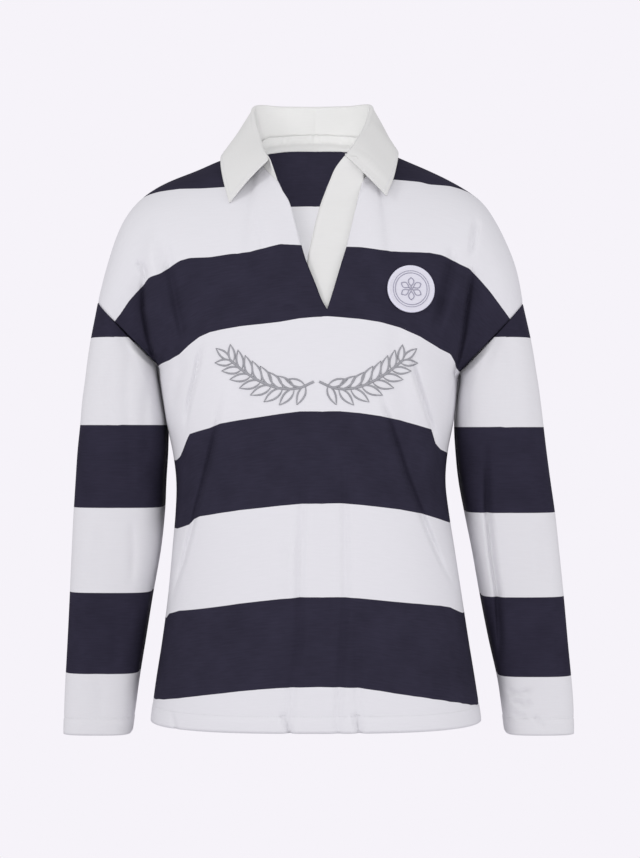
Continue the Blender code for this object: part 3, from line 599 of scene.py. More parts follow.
class Quarter:
    """Form of one side of the front or back, by shares across and up.

    Across runs from the centre (0) to the side seam or armhole (1).
    """

    def __init__(self, half: BodyPanel, side: int) -> None:
        """Read the tables.

        Args:
            half: Front or back, with its sizes.
            side: Side of the wearer.
        """
        self.half, self.panel, self.side = half, half.panel, side
        front = self.panel is Panel.FRONT
        self.width = {-1: TORSO.curve("z", "wearer_right"), 1: TORSO.curve("z", "wearer_left")}
        self.depth = TORSO.curve("z", half.name)
        self.drop = UNDERARM_ROW.curve("across", half.name)
        self.neck = Path(NECK_FRONT[side][::-1] if front else NECK_BACK[side])
        self.edge = Path(SLIT_EDGE[side] if front else CENTRE_BACK)
        self.ridge = Path(RIDGE[side])

    def ring(self, across: float, z: float) -> Vector:
        """Point of the ring at one height.

        Args:
            across: Share across.
            z: Height.

        Returns:
            The point.
        """
        start = self.half.start
        angle = start + across * (self.side * math.pi / 2 - start)
        run = math.sin(angle)
        x = self.width[-1 if angle < 0 else 1].at(z) * run
        fill = max(1 - abs(run) ** RING_POWER, 0.0) ** (1 / RING_POWER)
        return Vector((x, self.panel.value * self.depth.at(z) * fill, z))

    def underarm(self, across: float) -> Vector:
        """Point of the row at the underarm.

        Args:
            across: Share across.

        Returns:
            The point.
        """
        seam_x, seam_z = ARMHOLE[self.side][0]
        if across >= 1.0:
            return Vector((seam_x, 0.0, seam_z))
        if self.panel is Panel.FRONT and across <= 0.0:
            return self.edge.at(0.0)
        centre = self.half.row_centre
        return self.ring(across, centre + (seam_z - centre) * self.drop.at(across))

    def lower(self, across: float, height: float) -> Vector:
        """Point between the hem and the underarm row.

        Args:
            across: Share across.
            height: Share up.

        Returns:
            The point.
        """
        top = self.underarm(across)
        if height >= 1.0:
            return top
        point = self.ring(across, HEM_HEIGHT + (top.z - HEM_HEIGHT) * height)
        return point + (top - self.ring(across, top.z)) * ease(0.6, 1.0, height)

    def top(self, across: float) -> Vector:
        """Point of the upper border: neck seam, then shoulder ridge.

        Args:
            across: Share across.

        Returns:
            The point.
        """
        share = self.half.neck_share
        if across <= share:
            return self.neck.at(across / share)
        return self.ridge.at((across - share) / (1 - share))

    def upper(self, across: float, height: float) -> Vector:
        """Point between the underarm row and the upper border.

        Args:
            across: Share across.
            height: Share up.

        Returns:
            The point.
        """
        arched = math.sin(height * math.pi / 2)
        blend = ease(0.0, 2.2 * self.half.neck_share, across)
        point = self.underarm(across).lerp(self.top(across), height + (arched - height) * blend)
        inner = self.edge.at(height) - self.underarm(0.0).lerp(self.top(0.0), height)
        hole = armhole(self.panel, self.side, height, False)
        outer = hole - self.underarm(1.0).lerp(self.top(1.0), arched)
        point = point + inner * (1 - across) + outer * across
        point += (armhole(self.panel, self.side, height) - hole) * across ** 5
        swell = self.half.fullness * 4 * across * (1 - across) * math.sin(height * math.pi)
        point.y += self.panel.value * swell
        return point


def front_level(x: float, z: float) -> float:
    """Level on the front.

    Args:
        x: Place across.
        z: Height.

    Returns:
        Distance up the cloth in millimetres.
    """
    heights = [(between(pairs, x), level) for level, pairs in FRONT_LEVELS.items()]
    (low, _), (top, _) = heights[0], heights[-1]
    return between(heights, z) + min(z - low, 0.0) + max(z - top, 0.0) / UPPER_LEVEL_RISE


def back_level(x: float, z: float) -> float:
    """Level on the back, which meets the front's at the side seams.

    Args:
        x: Place across.
        z: Height.

    Returns:
        Distance up the cloth in millimetres.
    """
    centre = between(BACK_LEVELS, z)
    seam = front_level(math.copysign(max(abs(x), BACK_REACH), x), z)
    return centre + (seam - centre) * ease(BACK_LEVEL_START, BACK_REACH, abs(x))


def sleeve_level(side: int, z: float) -> float:
    """Level on a sleeve.

    Args:
        side: Side of the wearer.
        z: Height.

    Returns:
        Distance up the cloth in millimetres.
    """
    pairs = SLEEVE_LEVELS[side]
    past = z - min(max(z, pairs[0][0]), pairs[-1][0])
    return between(pairs, z) + past


class Place(NamedTuple):
    """One cloth point: its position, and where it lies across and up the cloth."""

    point: Vector
    across: float
    level: float


def creased(folds: Sequence[Fold], panel: Panel, point: Vector) -> Vector:
    """Point with the creases of its panel, which fade out at side and armhole seams.

    Args:
        folds: The creases.
        panel: Front or back.
        point: Place on the smooth form.

    Returns:
        The moved point.
    """
    (low_x, low_z), (high_x, high_z) = ARMHOLE[-1 if point.x < 0 else 1]
    dx, dz = high_x - low_x, high_z - low_z
    share = ((point.x - low_x) * dx + (point.z - low_z) * dz) / (dx * dx + dz * dz)
    share = min(max(share, 0.0), 1.0)
    seam = math.hypot(point.x - low_x - dx * share, point.z - low_z - dz * share)
    total = sum(fold.at(point.x, point.z) for fold in folds)
    total *= ease(0.0, SIDE_FADE, abs(point.y)) * ease(0.0, ARMHOLE_FADE, seam)
    return point + Vector((0.0, panel.value * total, 0.0))


def hem_relief(above: float) -> float:
    """Relief of a turned-up edge: a fuller turn-up with a stitched groove over it.

    Args:
        above: Distance from the edge.

    Returns:
        Height in millimetres.
    """
    groove = GROOVE_DEPTH * math.exp(-(((above - HEM_TURN) / GROOVE_WIDTH) ** 2))
    full = TURN_HEIGHT * ease(0.0, 4.0, above) * ease(HEM_TURN + 1.0, HEM_TURN - 4.0, above)
    return full - groove


def to_front(_point: Vector) -> Vector:
    """Direction of the front, whatever the point."""
    return Vector((0.0, -1.0, 0.0))


class ClothPiece:
    """Grids of one piece of cloth, welded into a single sheet."""

    def __init__(self, name: str) -> None:
        """Start an empty sheet.

        Args:
            name: Name of the object.
        """
        self.name = name
        self.working = bmesh.new()
        self.layer = self.working.loops.layers.uv.new("cloth")

    def add_grid(self, faces: tuple[int, int], surface: Surface,
                 outward: Callable[[Vector], Vector] = to_front) -> None:
        """Add a grid laid on a surface.

        Args:
            faces: Faces across and along.
            surface: Place for shares across and along.
            outward: Rough outward direction at a point, in millimetres.
        """
        made = bmesh.ops.create_grid(self.working, x_segments=faces[0], y_segments=faces[1],
                                     size=1.0)
        places = {}
        for vertex in made["verts"]:
            place = surface((vertex.co.x + 1) / 2, (vertex.co.y + 1) / 2)
            vertex.co = place.point * MM
            places[vertex] = (place.across * MM, place.level * MM)
        grid = list({face for vertex in made["verts"] for face in vertex.link_faces})
        facing = 0.0
        for face in grid:
            face.normal_update()
            for loop in face.loops:
                loop[self.layer].uv = places[loop.vert]
            facing += face.normal.dot(outward(face.calc_center_median() / MM)) * face.calc_area()
        if facing < 0:
            bmesh.ops.reverse_faces(self.working, faces=grid)

    def weld(self) -> None:
        """Join the grids where they meet."""
        bmesh.ops.remove_doubles(self.working, verts=self.working.verts, dist=0.00002)

    def soften(self, rounds: int) -> None:
        """Weld the grids and even them out, with the borders kept.

        Args:
            rounds: How often each point moves towards its neighbours.
        """
        self.weld()
        inner = [vertex for vertex in self.working.verts if not vertex.is_boundary]
        for _ in range(rounds):
            bmesh.ops.smooth_vert(self.working, verts=inner, factor=0.5, use_axis_x=True,
                                  use_axis_y=True, use_axis_z=True)

    def move(self, moved: Callable[[Vector, Vector, bool], Vector]) -> None:
        """Move every point.

        Args:
            moved: New point for a point, its normal and whether it is on a border.
        """
        self.working.normal_update()
        for vertex in self.working.verts:
            vertex.co = moved(vertex.co / MM, vertex.normal, vertex.is_boundary) * MM

    def finish(self, wall: float, material: Material) -> Piece:
        """Weld the grids and make the object.

        Args:
            wall: Thickness of the cloth, to the inside.
            material: Its material.

        Returns:
            The object.
        """
        self.weld()
        self.working.normal_update()
        piece = add_object(self.name, self.working, material)
        for polygon in piece.data.polygons:
            polygon.use_smooth = True
        solidify = piece.modifiers.new("wall", "SOLIDIFY")
        solidify.thickness = wall * MM
        solidify.offset = -1.0
        return piece


def add_holder(name: str, data: bpy.types.ID) -> Piece:
    """Add an object for its data to the scene.

    Args:
        name: Name of the object.
        data: Its data.

    Returns:
        The object.
    """
    holder = bpy.data.objects.new(name, data)
    bpy.context.scene.collection.objects.link(holder)
    return holder


def add_object(name: str, working: bmesh.types.BMesh, material: Material) -> Piece:
    """Make an object from a working mesh, which is used up.

    Args:
        name: Name of the object.
        working: The mesh.
        material: Its material.

    Returns:
        The object.
    """
    mesh = bpy.data.meshes.new(name)
    working.to_mesh(mesh)
    working.free()
    mesh.materials.append(material)
    return add_holder(name, mesh)


def tree_of(piece: Piece) -> BVHTree:
    """Search tree of the outer faces of a piece, in millimetres."""
    points = [tuple(vertex.co / MM) for vertex in piece.data.vertices]
    return BVHTree.FromPolygons(points, [tuple(face.vertices) for face in piece.data.polygons])


def clear_of(tree: BVHTree, point: Vector, need: float) -> Vector:
    """Move a point that lies over a surface until it clears it.

    Args:
        tree: Search tree of the surface.
        point: The point.
        need: Clearance in millimetres.

    Returns:
        The point, moved if it was too low.
    """
    place, normal, _, _ = tree.find_nearest(point)
    gap = (point - place).dot(normal)
    beside = (point - place - normal * gap).length
    over = beside < BESIDE_LIMIT and gap < need
    return point + normal * (need - gap) if over else point


class Nodes:
    """Short way to build a node tree."""

    def __init__(self, tree: bpy.types.NodeTree) -> None:
        """Keep the tree that is built."""
        self.tree = tree

    def feed(self, node: bpy.types.Node, values: dict[str | int, object]) -> None:
        """Fill inputs of a node.

        Args:
            node: The node.
            values: For each input a socket to join, or a value to set.
        """
        for key, value in values.items():
            if isinstance(value, bpy.types.NodeSocket):
                self.tree.links.new(value, node.inputs[key])
            else:
                node.inputs[key].default_value = value

    def add(self, kind: str, values: dict[str | int, object] | None = None,
            **settings: object) -> bpy.types.Node:
        """Add a node.

        Args:
            kind: Type name of the node.
            values: What goes into its inputs.
            settings: Attributes to set on it first.

        Returns:
            The node.
        """
        node = self.tree.nodes.new(kind)
        for key, value in settings.items():
            setattr(node, key, value)
        self.feed(node, values or {})
        return node

    def math(self, operation: str, *values: object) -> bpy.types.NodeSocket:
        """Add a sum on sockets or numbers.

        Args:
            operation: Name of the operation.
            values: Sockets or numbers.

        Returns:
            Its output.
        """
        return self.add("ShaderNodeMath", dict(enumerate(values)), operation=operation).outputs[0]


def new_group(name: str, kind: str, results: Sequence[str]
              ) -> tuple[Nodes, bpy.types.NodeSocket, bpy.types.Node]:
    """Empty node group with one input.

    Args:
        name: Name of the group.
        kind: Socket type of the input.
        results: Names of its outputs.

    Returns:
        Its builder, its input socket and its output node.
    """
    tree = bpy.data.node_groups.new(name, "ShaderNodeTree")
    tree.interface.new_socket(name="Cloth", in_out="INPUT", socket_type=kind)
    for result in results:
        tree.interface.new_socket(name=result, in_out="OUTPUT", socket_type="NodeSocketFloat")
    nodes = Nodes(tree)
    return nodes, nodes.add("NodeGroupInput").outputs[0], nodes.add("NodeGroupOutput")


def band_group() -> bpy.types.NodeTree:
    """Group that gives 1 on the dark bands and 0 on the light ones, by level."""
    nodes, level, result = new_group("bands", "NodeSocketFloat", ("Dark",))
    phase = nodes.math("FRACT", nodes.math("DIVIDE", level, 0.2))
    middle = nodes.math("ABSOLUTE", nodes.math("SUBTRACT", phase, 0.25))
    inside = nodes.math("MULTIPLY", nodes.math("SUBTRACT", 0.25, middle), 400.0)
    clean = nodes.add("ShaderNodeClamp", {0: nodes.math("ADD", inside, 0.5)})
    nodes.feed(result, {0: clean.outputs[0]})
    return nodes.tree


def knit_group() -> bpy.types.NodeTree:
    """Group that gives the height of a fine knit, its thick yarns and its clouds."""
    nodes, cloth, result = new_group("knit", "NodeSocketVector", ("Height", "Slub", "Mottle"))
    noises = []
    for scale, detail in (((55, 560, 1), 3), ((1100, 800, 1), 2), ((26, 26, 26), 4)):
        place = nodes.add("ShaderNodeMapping", {"Vector": cloth, "Scale": scale})
        noise = nodes.add("ShaderNodeTexNoise", {"Vector": place.outputs[0], "Scale": 1.0,
                                                 "Detail": detail})
        noises.append(noise.outputs[0])
    slub, fine, wide = noises
    height = nodes.math("ADD", nodes.math("MULTIPLY", slub, 0.12),
                        nodes.math("MULTIPLY", fine, 0.5))
    nodes.feed(result, {"Height": height, "Slub": slub, "Mottle": wide})
    return nodes.tree


def new_material(name: str, values: dict[str | int, object]
                 ) -> tuple[Material, Nodes, bpy.types.Node]:
    """New material.

    Args:
        name: Its name.
        values: What goes into its shader.

    Returns:
        The material, the builder of its nodes, and its shader.
    """
    material = bpy.data.materials.new(name)
    material.use_nodes = True
    nodes = Nodes(material.node_tree)
    shader = material.node_tree.nodes["Principled BSDF"]
    nodes.feed(shader, values)
    return material, nodes, shader


@dataclass(frozen=True)
class ClothFinish:
    """Look of one cloth.

    Attributes:
        name: Name of the material.
        light: Colour of the light yarn.
        dark: Colour of the dark yarn, if it has bands.
        bump: Height of the knit in metres.
        slub: Contrast of the thick yarns.
        mottle: Contrast of the clouds on the dark bands.
        roughness: Roughness of the surface.
    """

    name: str
    light: Triple
    dark: Triple | None = None
    bump: float = 0.00012
    slub: float = 0.06
    mottle: float = 0.5
    roughness: float = 0.9

    def make(self, bands: bpy.types.NodeTree, knit: bpy.types.NodeTree) -> Material:
        """Build the material.

        Args:
            bands: Group of the band mask.
            knit: Group of the knit.

        Returns:
            The material.
        """
        material, nodes, shader = new_material(
            self.name, {"Roughness": self.roughness, "Specular IOR Level": 0.06})
        coords = nodes.add("ShaderNodeUVMap", uv_map="cloth").outputs[0]
        yarn = nodes.add("ShaderNodeGroup", {0: coords}, node_tree=knit).outputs
        thick = nodes.math("MULTIPLY", nodes.math("SUBTRACT", yarn["Slub"], 0.5), 4.0)
        if self.dark:
            level = nodes.add("ShaderNodeSeparateXYZ", {0: coords}).outputs["Y"]
            mask = nodes.add("ShaderNodeGroup", {0: level}, node_tree=bands).outputs[0]
            colour = nodes.add("ShaderNodeMix", {
                "Factor": mask, "A": (*self.light, 1.0), "B": (*self.dark, 1.0),
            }, data_type="RGBA").outputs["Result"]
            contrast = nodes.math("ADD", 0.012, nodes.math("MULTIPLY", mask, self.slub))
            cloud = nodes.math("SUBTRACT", yarn["Mottle"], 0.5)
            cloud = nodes.math("MULTIPLY", cloud, nodes.math("MULTIPLY", mask, self.mottle))
        else:
            colour, contrast, cloud = self.light, self.slub, 0.0
        tone = nodes.math("ADD", 1.0, nodes.math("MULTIPLY", thick, contrast))
        toned = nodes.add("ShaderNodeVectorMath", {
            0: colour, "Scale": nodes.math("ADD", tone, cloud),
        }, operation="SCALE")
        bump = nodes.add("ShaderNodeBump", {
            "Distance": self.bump, "Strength": 0.7, "Height": yarn["Height"]})
        nodes.feed(shader, {"Base Color": toned.outputs[0], "Normal": bump.outputs[0]})
        return material


JERSEY = ClothFinish("jersey", (0.76, 0.755, 0.785), (0.0290, 0.0265, 0.0450), slub=0.09)
# Copy of the jersey for the sleeves, with both yarns painted a little darker: painted shade for the
# light that falls off on the sleeves.
SHADED_SLEEVE_JERSEY = ClothFinish("shaded_sleeve_jersey", (0.745, 0.74, 0.765), (0.0270, 0.0245, 0.0425),
                            slub=0.09)
TWILL = ClothFinish("twill", (0.77, 0.77, 0.755), slub=0.01, bump=0.00005)
PATCH = ClothFinish("patch_cloth", (0.72, 0.71, 0.785), slub=0.03)
SILVER = ClothFinish("silver_thread", (0.35, 0.35, 0.375), slub=0.12, roughness=0.5)
LILAC = ClothFinish("lilac_thread", (0.36, 0.35, 0.44), slub=0.08, roughness=0.55)
RIM = ClothFinish("rim_thread", (0.76, 0.75, 0.88), slub=0.08, roughness=0.6)
THREAD = ClothFinish("sewing_thread", (0.74, 0.74, 0.76), slub=0.05, roughness=0.6)


@dataclass(frozen=True)
class BodyPanel:
    """Front or back of the body.

    Attributes:
        panel: Which of the two.
        level: Distance up the cloth for a place (x, z).
        folds: Its creases.
        columns: Faces across each half.
        row_centre: Height of the underarm row in the middle.
        neck_share: Share of the upper border that is neck seam.
        fullness: How far the upper half swells out.
        start: Angle at which both halves start, in the ring.
        half_width: Width of each half along the cloth.
        rounds: Rounds of softening.
        wall: Thickness of the cloth.
    """

    panel: Panel
    level: Callable[[float, float], float]
    folds: tuple[Fold, ...]
    columns: int
    row_centre: float
    neck_share: float
    fullness: float
    start: float = 0.0
    half_width: float = 260.0
    rounds: int = 14
    wall: float = BODY_WALL

    @property
    def name(self) -> str:
        """Name of its solid."""
        return self.panel.name.lower()

    def laid(self, point: Vector, side: int, across: float) -> Place:
        """Place on the cloth for a point of the form.

        Args:
            point: The point.
            side: Side of the wearer.
            across: Share across.

        Returns:
            The place.
        """
        level = self.level(point.x, point.z)
        beside_slit = self.panel is Panel.FRONT and side < 0 and across < SLIT_TOP_REACH
        if beside_slit and level > 200.0:
            level = SLIT_TOP_LEVEL
        return Place(point, side * across * self.half_width, level)

    def moved(self, point: Vector, normal: Vector, border: bool) -> Vector:
        """Point with creases, hem and sunk seams.

        Args:
            point: Place on the smooth form.
            normal: Outward direction.
            border: Whether it is on a border.

        Returns:
            The moved point.
        """
        result = creased(self.folds, self.panel, point)
        result += normal * hem_relief(point.z - HEM_HEIGHT)
        slit = abs(point.x) < 60.0 and point.y < -50.0
        seam = border and point.z >= HEM_HEIGHT + 1.0 and not slit
        return result - normal * SEAM_SINK if seam else result

    def build(self, material: Material) -> Piece:
        """Build the object, of the material that is given."""
        piece = ClothPiece(f"{self.name}_cloth")
        for side in SIDES:
            quarter = Quarter(self, side)
            for rows, form in ((LOWER_ROWS, quarter.lower), (UPPER_ROWS, quarter.upper)):
                piece.add_grid((self.columns, rows),
                               lambda across, up: self.laid(form(across, up), side, across),
                               lambda point: Vector((point.x, point.y, 0.0)))
        piece.soften(self.rounds)
        piece.move(self.moved)
        return piece.finish(self.wall, material)


FRONT = BodyPanel(Panel.FRONT, front_level, FRONT_FOLDS, columns=100, row_centre=-185.0,
                  neck_share=5 / 14, fullness=8.0, start=SLIT_ANGLE)
BACK = BodyPanel(Panel.BACK, back_level, BACK_FOLDS, columns=70, row_centre=-200.0,
                 neck_share=6 / 15, fullness=10.0)


class Sleeve:
    """One sleeve, a tube that is open at armhole and cuff."""

    def __init__(self, side: int, name: str, girth: float = 330.0) -> None:
        """Read the tables.

        Args:
            side: Side of the wearer.
            name: Name of its solid.
            girth: Way round it along the cloth.
        """
        self.side, self.name, self.girth = side, name, girth
        self.inner = SLEEVE_OUTLINE[side].curve("z", "inner")
        self.outer = SLEEVE_OUTLINE[side].curve("z", "outer")
        self.columns = {name: SLEEVE_RINGS.curve("ring", name) for name in SLEEVE_RINGS.columns}

    def point(self, ring: float, panel: Panel, share: float) -> Vector:
        """Point of the sleeve.

        Args:
            ring: Place down the sleeve, 0 at the armhole, counted in table rows.
            panel: Front or back half.
            share: From the underarm line (0) to the outer line (1).

        Returns:
            The point.
        """
        if ring < 1.0:
            return armhole(panel, self.side, share).lerp(self.point(1.0, panel, share), ring)
        row = {name: curve.at(ring) for name, curve in self.columns.items()}
        (_, low_z), (_, high_z) = ARMHOLE[self.side]
        fade = 1 - ease(-250.0, -440.0, row["inner_z"])
        inner_z = row["inner_z"] + (low_z - SLEEVE_TOP_INNER) * fade
        outer_z = row["outer_z"] + (high_z - SLEEVE_TOP_OUTER) * fade
        inner = Vector((self.inner.at(inner_z), 0.0, inner_z))
        outer = Vector((self.outer.at(outer_z), 0.0, outer_z))
        angle = share * math.pi
        cosine = math.cos(angle)
        even = 0.5 - 0.5 * math.copysign(abs(cosine) ** (2 / SLEEVE_POWER), cosine)
        drop = math.sin(angle / 2)
        along = drop + (even - drop) * row["roundness"]
        power = 1 + (SLEEVE_SQUARE - 1) * row["roundness"]
        boxed = max(1 - abs(2 * min(along, 0.5) - 1) ** INNER_POWER, 0.0) ** (1 / INNER_POWER)
        rounded = math.sin(angle) ** power if 0 < share < 1 else 0.0
        point = inner.lerp(outer, along)
        fill = boxed + (rounded - boxed) * ease(0.25, 0.6, share)
        point.y = panel.value * row["half_depth"] * fill
        return point

    def laid(self, turn: float, along: float) -> Place:
        """Place on the cloth.

        Args:
            turn: Share of the way round from the underarm line over the front.
            along: Share of the way down.

        Returns:
            The place.
        """
        panel = Panel.FRONT if turn <= 0.5 else Panel.BACK
        point = self.point(along * SLEEVE_LAST_RING, panel, 1 - abs(1 - 2 * turn))
        return Place(point, self.side * turn * self.girth, sleeve_level(self.side, point.z))

    def outward(self, point: Vector) -> Vector:
        """Direction away from the middle line, at a point."""
        middle = (self.inner.at(point.z) + self.outer.at(point.z)) / 2
        return Vector((point.x - middle, point.y, 0.0))

    def moved(self, point: Vector, normal: Vector, border: bool) -> Vector:
        """Point with creases, turned-up cuff and sunk seam.

        Args:
            point: Place on the smooth form.
            normal: Outward direction.
            border: Whether it is on a border.

        Returns:
            The moved point.
        """
        if point.y < 0:
            result = creased(SLEEVE_FOLDS[self.side], Panel.FRONT, point)
        else:
            result = creased(SLEEVE_BACK_FOLDS[self.side], Panel.BACK, point)
        result += normal * hem_relief(point.z - CUFF_HEIGHT)
        seam = border and point.z > CUFF_HEIGHT + 5.0
        return result - normal * SEAM_SINK if seam else result

    def build(self, material: Material) -> Piece:
        """Build the object, of the material that is given."""
        piece = ClothPiece(f"{self.name}_cloth")
        piece.add_grid(SLEEVE_GRID, self.laid, self.outward)
        piece.soften(SLEEVE_SOFTENING)
        piece.move(self.moved)
        return piece.finish(BODY_WALL, material)


@dataclass
class Collar:
    """One-piece fold-over collar with the tape at its foot, along the neck seam.

    Attributes:
        trees: Surfaces of front and back, which the collar has to clear.
        wall: Thickness of its cloth.
        roll_radius: Radius of the roll.
        belly: How far the fall swells out.
        clearance: Room under the fall.
        strip_lift: How much higher it lies over the placket strip.
        length: Length of each half along the cloth.
        height: Height along the cloth.
        stand_end: Share of the profile that the stand takes.
        roll_end: Share at which the fall starts.
        grid: Faces along each half and over the profile.
        tape_width: Width of the tape.
        tape_height: Width of the tape along the cloth.
        tape_wall: Thickness of the tape.
        tape_reach: Share of each half of the neck seam that the tape takes.
        tape_grid: Faces along and across the tape.
        seams: Neck seam from centre back to the front end, by side.
        rails: Roll and outer edge, by side.
        paces: Share of each rail for a share of the seam, by side.
    """

    trees: Sequence[BVHTree]
    wall: float = COLLAR_WALL
    roll_radius: float = 2.7
    belly: float = 3.0
    clearance: float = 0.5
    strip_lift: float = 2.6
    length: float = 230.0
    height: float = 130.0
    stand_end: float = 0.3
    roll_end: float = 0.42
    grid: tuple[int, int] = (75, 50)
    tape_width: float = 20.0
    tape_height: float = 17.0
    tape_wall: float = 1.0
    tape_reach: float = 0.5
    tape_grid: tuple[int, int] = (120, 10)
    seams: dict[int, Path] = field(default_factory=dict)
    rails: dict[int, tuple[Path, Path]] = field(default_factory=dict)
    paces: dict[int, tuple[Smooth, Smooth]] = field(default_factory=dict)

    def __post_init__(self) -> None:
        """Read the tables."""
        for side in SIDES:
            back, front = Path(NECK_BACK[side]), Path(NECK_FRONT[side][::-1])
            points = [back.at(step / 12) for step in range(13)]
            points += [front.at(1 - step / 12) for step in range(1, 13)]
            if side > 0:
                strip = Path(NECK_STRIP)
                points += [strip.at(step / 4) for step in range(1, 5)]
            self.seams[side] = Path(points)
            self.rails[side] = Path(COLLAR_ROLL[side]), Path(COLLAR_EDGE[side])
            pace = COLLAR_PACE[side]
            self.paces[side] = pace.curve("neck", "roll"), pace.curve("neck", "edge")

    def point(self, side: int, share: float, profile: float) -> Vector:
        """Point of the collar.

        Args:
            side: Side of the wearer.
            share: From centre back (0) to the front end (1).
            profile: From the neck seam (0) over the roll to the outer edge (1).

        Returns:
            The point.
        """
        neck = self.seams[side].at(share)
        outward = heading(self.seams[side].at, share, 0.04).cross(Vector((0, 0, 1))) * side
        if share <= 0.0:
            outward = Vector((0, 1, 0))
        outward = Vector((outward.x, outward.y, 0)).normalized()
        if outward.dot(Vector((neck.x, neck.y - 5.0, 0))) < 0:
            outward = -outward
        roll, edge = (rail.at(pace.at(share))
                      for rail, pace in zip(self.rails[side], self.paces[side]))
        up = (roll - neck).normalized()
        out = (outward - up * outward.dot(up)).normalized()
        foot = neck - out * self.wall + up * 0.2
        lift = self.strip_lift * ease(0.62, 0.85, share) if side > 0 else 0.0
        foot.y += 1.8 * lift
        centre = roll - up * self.roll_radius
        if profile <= self.stand_end:
            return foot.lerp(centre - out * self.roll_radius, profile / self.stand_end)
        if profile <= self.roll_end:
            angle = math.pi * (profile - self.stand_end) / (self.roll_end - self.stand_end)
            return centre + (up * math.sin(angle) - out * math.cos(angle)) * self.roll_radius
        fall = (edge - centre).normalized()
        away = (out - fall * out.dot(fall)).normalized()
        reach = (profile - self.roll_end) / (1 - self.roll_end)
        point = (centre + out * self.roll_radius).lerp(edge, reach)
        belly = self.belly * math.sin(math.pi * reach)
        point += away * (belly + lift * 0.7 * ease(0.0, 0.3, reach))
        for tree in self.trees:
            point = clear_of(tree, point, self.wall + self.clearance + lift)
        return point

    def build(self, material: Material) -> Piece:
        """Build the collar, of the material that is given."""
        piece = ClothPiece("collar_cloth")
        for side in SIDES:
            piece.add_grid(
                self.grid,
                lambda share, profile: Place(self.point(side, share, profile),
                                             side * share * self.length, profile * self.height),
                lambda point: Vector((0.0, -1.0 if point.y < -50.0 else 0.0, 0.0)))
        return piece.finish(self.wall, material)

    def tape_place(self, across: float, down: float) -> Place:
        """Place on the tape, which runs from the collar's foot down the back.

        Args:
            across: Share across.
            down: Share down.

        Returns:
            The place.
        """
        signed = (across * 2 - 1) * self.tape_reach
        side, share = -1 if signed < 0 else 1, abs(signed)
        start = self.seams[side].at(share) - Vector((0, 0, self.tape_width * down))
        place, normal, _, _ = self.trees[1].find_nearest(start)
        room = 0.5 + 1.6 * math.exp(-((down - 0.3) / 0.25) ** 2)
        foot = self.point(side, share, 0.02)
        foot += (Vector((0.0, 5.0, foot.z)) - foot).normalized() * 1.6
        point = foot.lerp(place - normal * (BODY_WALL + self.tape_wall + room),
                          ease(0.0, 0.3, down))
        ripple = math.sin(signed * 95.0 + 2.0 * math.sin(signed * 31.0))
        point.z += 0.35 * ripple * (1 - down)
        point.y -= 0.5 * ripple * math.exp(-((down - 0.2) / 0.2) ** 2)
        return Place(point, signed * self.length, down * self.tape_height)

    def tape(self, material: Material) -> Piece:
        """Build the tape inside the back neck, of the material that is given."""
        piece = ClothPiece("tape_cloth")
        piece.add_grid(self.tape_grid, self.tape_place,
                       lambda point: Vector((-point.x, -point.y, 0.0)))
        return piece.finish(self.tape_wall, material)


@dataclass(frozen=True)
class PlacketStrip:
    """Strip behind the wearer's left side of the neck slit.

    Attributes:
        rows: Its seam side and free side, by height.
        width: Width along the cloth.
        length: Length along the cloth.
        wall: Thickness of the cloth.
        grid: Faces across and along.
    """

    rows: Table = PLACKET_STRIP
    width: float = 36.0
    length: float = 150.0
    wall: float = COLLAR_WALL
    grid: tuple[int, int] = (16, 60)

    def place(self, across: float, down: float) -> Place:
        """Place on the strip.

        Args:
            across: Share across.
            down: Share down.

        Returns:
            The place.
        """
        heights = self.rows.columns["z"]
        z = heights[0] + (heights[-1] - heights[0]) * down
        seam, free = (Vector((self.rows.curve("z", f"{edge}_x").at(z),
                              self.rows.curve("z", f"{edge}_y").at(z), z))
                      for edge in ("seam", "free"))
        point = seam.lerp(free, across)
        ripple = math.sin(z * 0.19 + 2.5 * across) * math.sin(z * 0.043)
        point.y -= 0.5 * ripple * math.sin(math.pi * across)
        return Place(point, across * self.width, down * self.length)

    def build(self, material: Material) -> Piece:
        """Build the strip, of the material that is given."""
        piece = ClothPiece("strip_cloth")
        piece.add_grid(self.grid, self.place)
        return piece.finish(self.wall, material)


class Stitches:
    """Single stitches along lines on a surface."""

    def __init__(self, name: str, pitch: float = 3.1, length: float = 2.3) -> None:
        """Start an empty row.

        Args:
            name: Name of the object.
            pitch: Distance between stitches.
            length: Length of one.
        """
        self.piece, self.pitch, self.length = ClothPiece(name), pitch, length

    def run(self, tree: BVHTree, line: Callable[[float], Vector], length: float) -> None:
        """Sew along a line.

        Args:
            tree: Search tree of the surface.
            line: Point for a share of the line.
            length: Rough length of the line.
        """
        count = max(int(length / self.pitch), 1)
        for number in range(count):
            share = (number + 0.5) / count
            place, normal, _, _ = tree.find_nearest(line(share))
            ahead = heading(line, share, 0.5 / count)
            along = (ahead - normal * ahead.dot(normal)).normalized()
            beside = normal.cross(along)

            def surface(s: float, u: float) -> Place:
                """Place on the stitch for shares across and along."""
                over, way = s * 2 - 1, u * 2 - 1
                rise = THREAD_RADIUS * (1 - way ** 4) * math.sqrt(max(1 - over * over, 0.0))
                point = place + along * way * self.length / 2 + beside * over * THREAD_RADIUS
                return Place(point + normal * (rise - THREAD_SINK), over, way)

            self.piece.add_grid((2, 4), surface, lambda point: normal)

    def finish(self, material: Material) -> Piece:
        """Make the object, of the thread that is given."""
        return self.piece.finish(STITCH_WALL, material)


class Band(NamedTuple):
    """Section of a row of satin stitch: width, height of its edges, and middle over them."""

    width: float
    lift: float
    rise: float
    pointed: bool = False


def turned(degrees: float) -> Vector:
    """Direction in front view at an angle from the viewer's right."""
    return Vector((math.cos(math.radians(degrees)), 0.0, math.sin(math.radians(degrees))))


def beside_of(ahead: Vector) -> Vector:
    """Direction at right angles to another in front view."""
    return Vector((-ahead.z, 0.0, ahead.x))


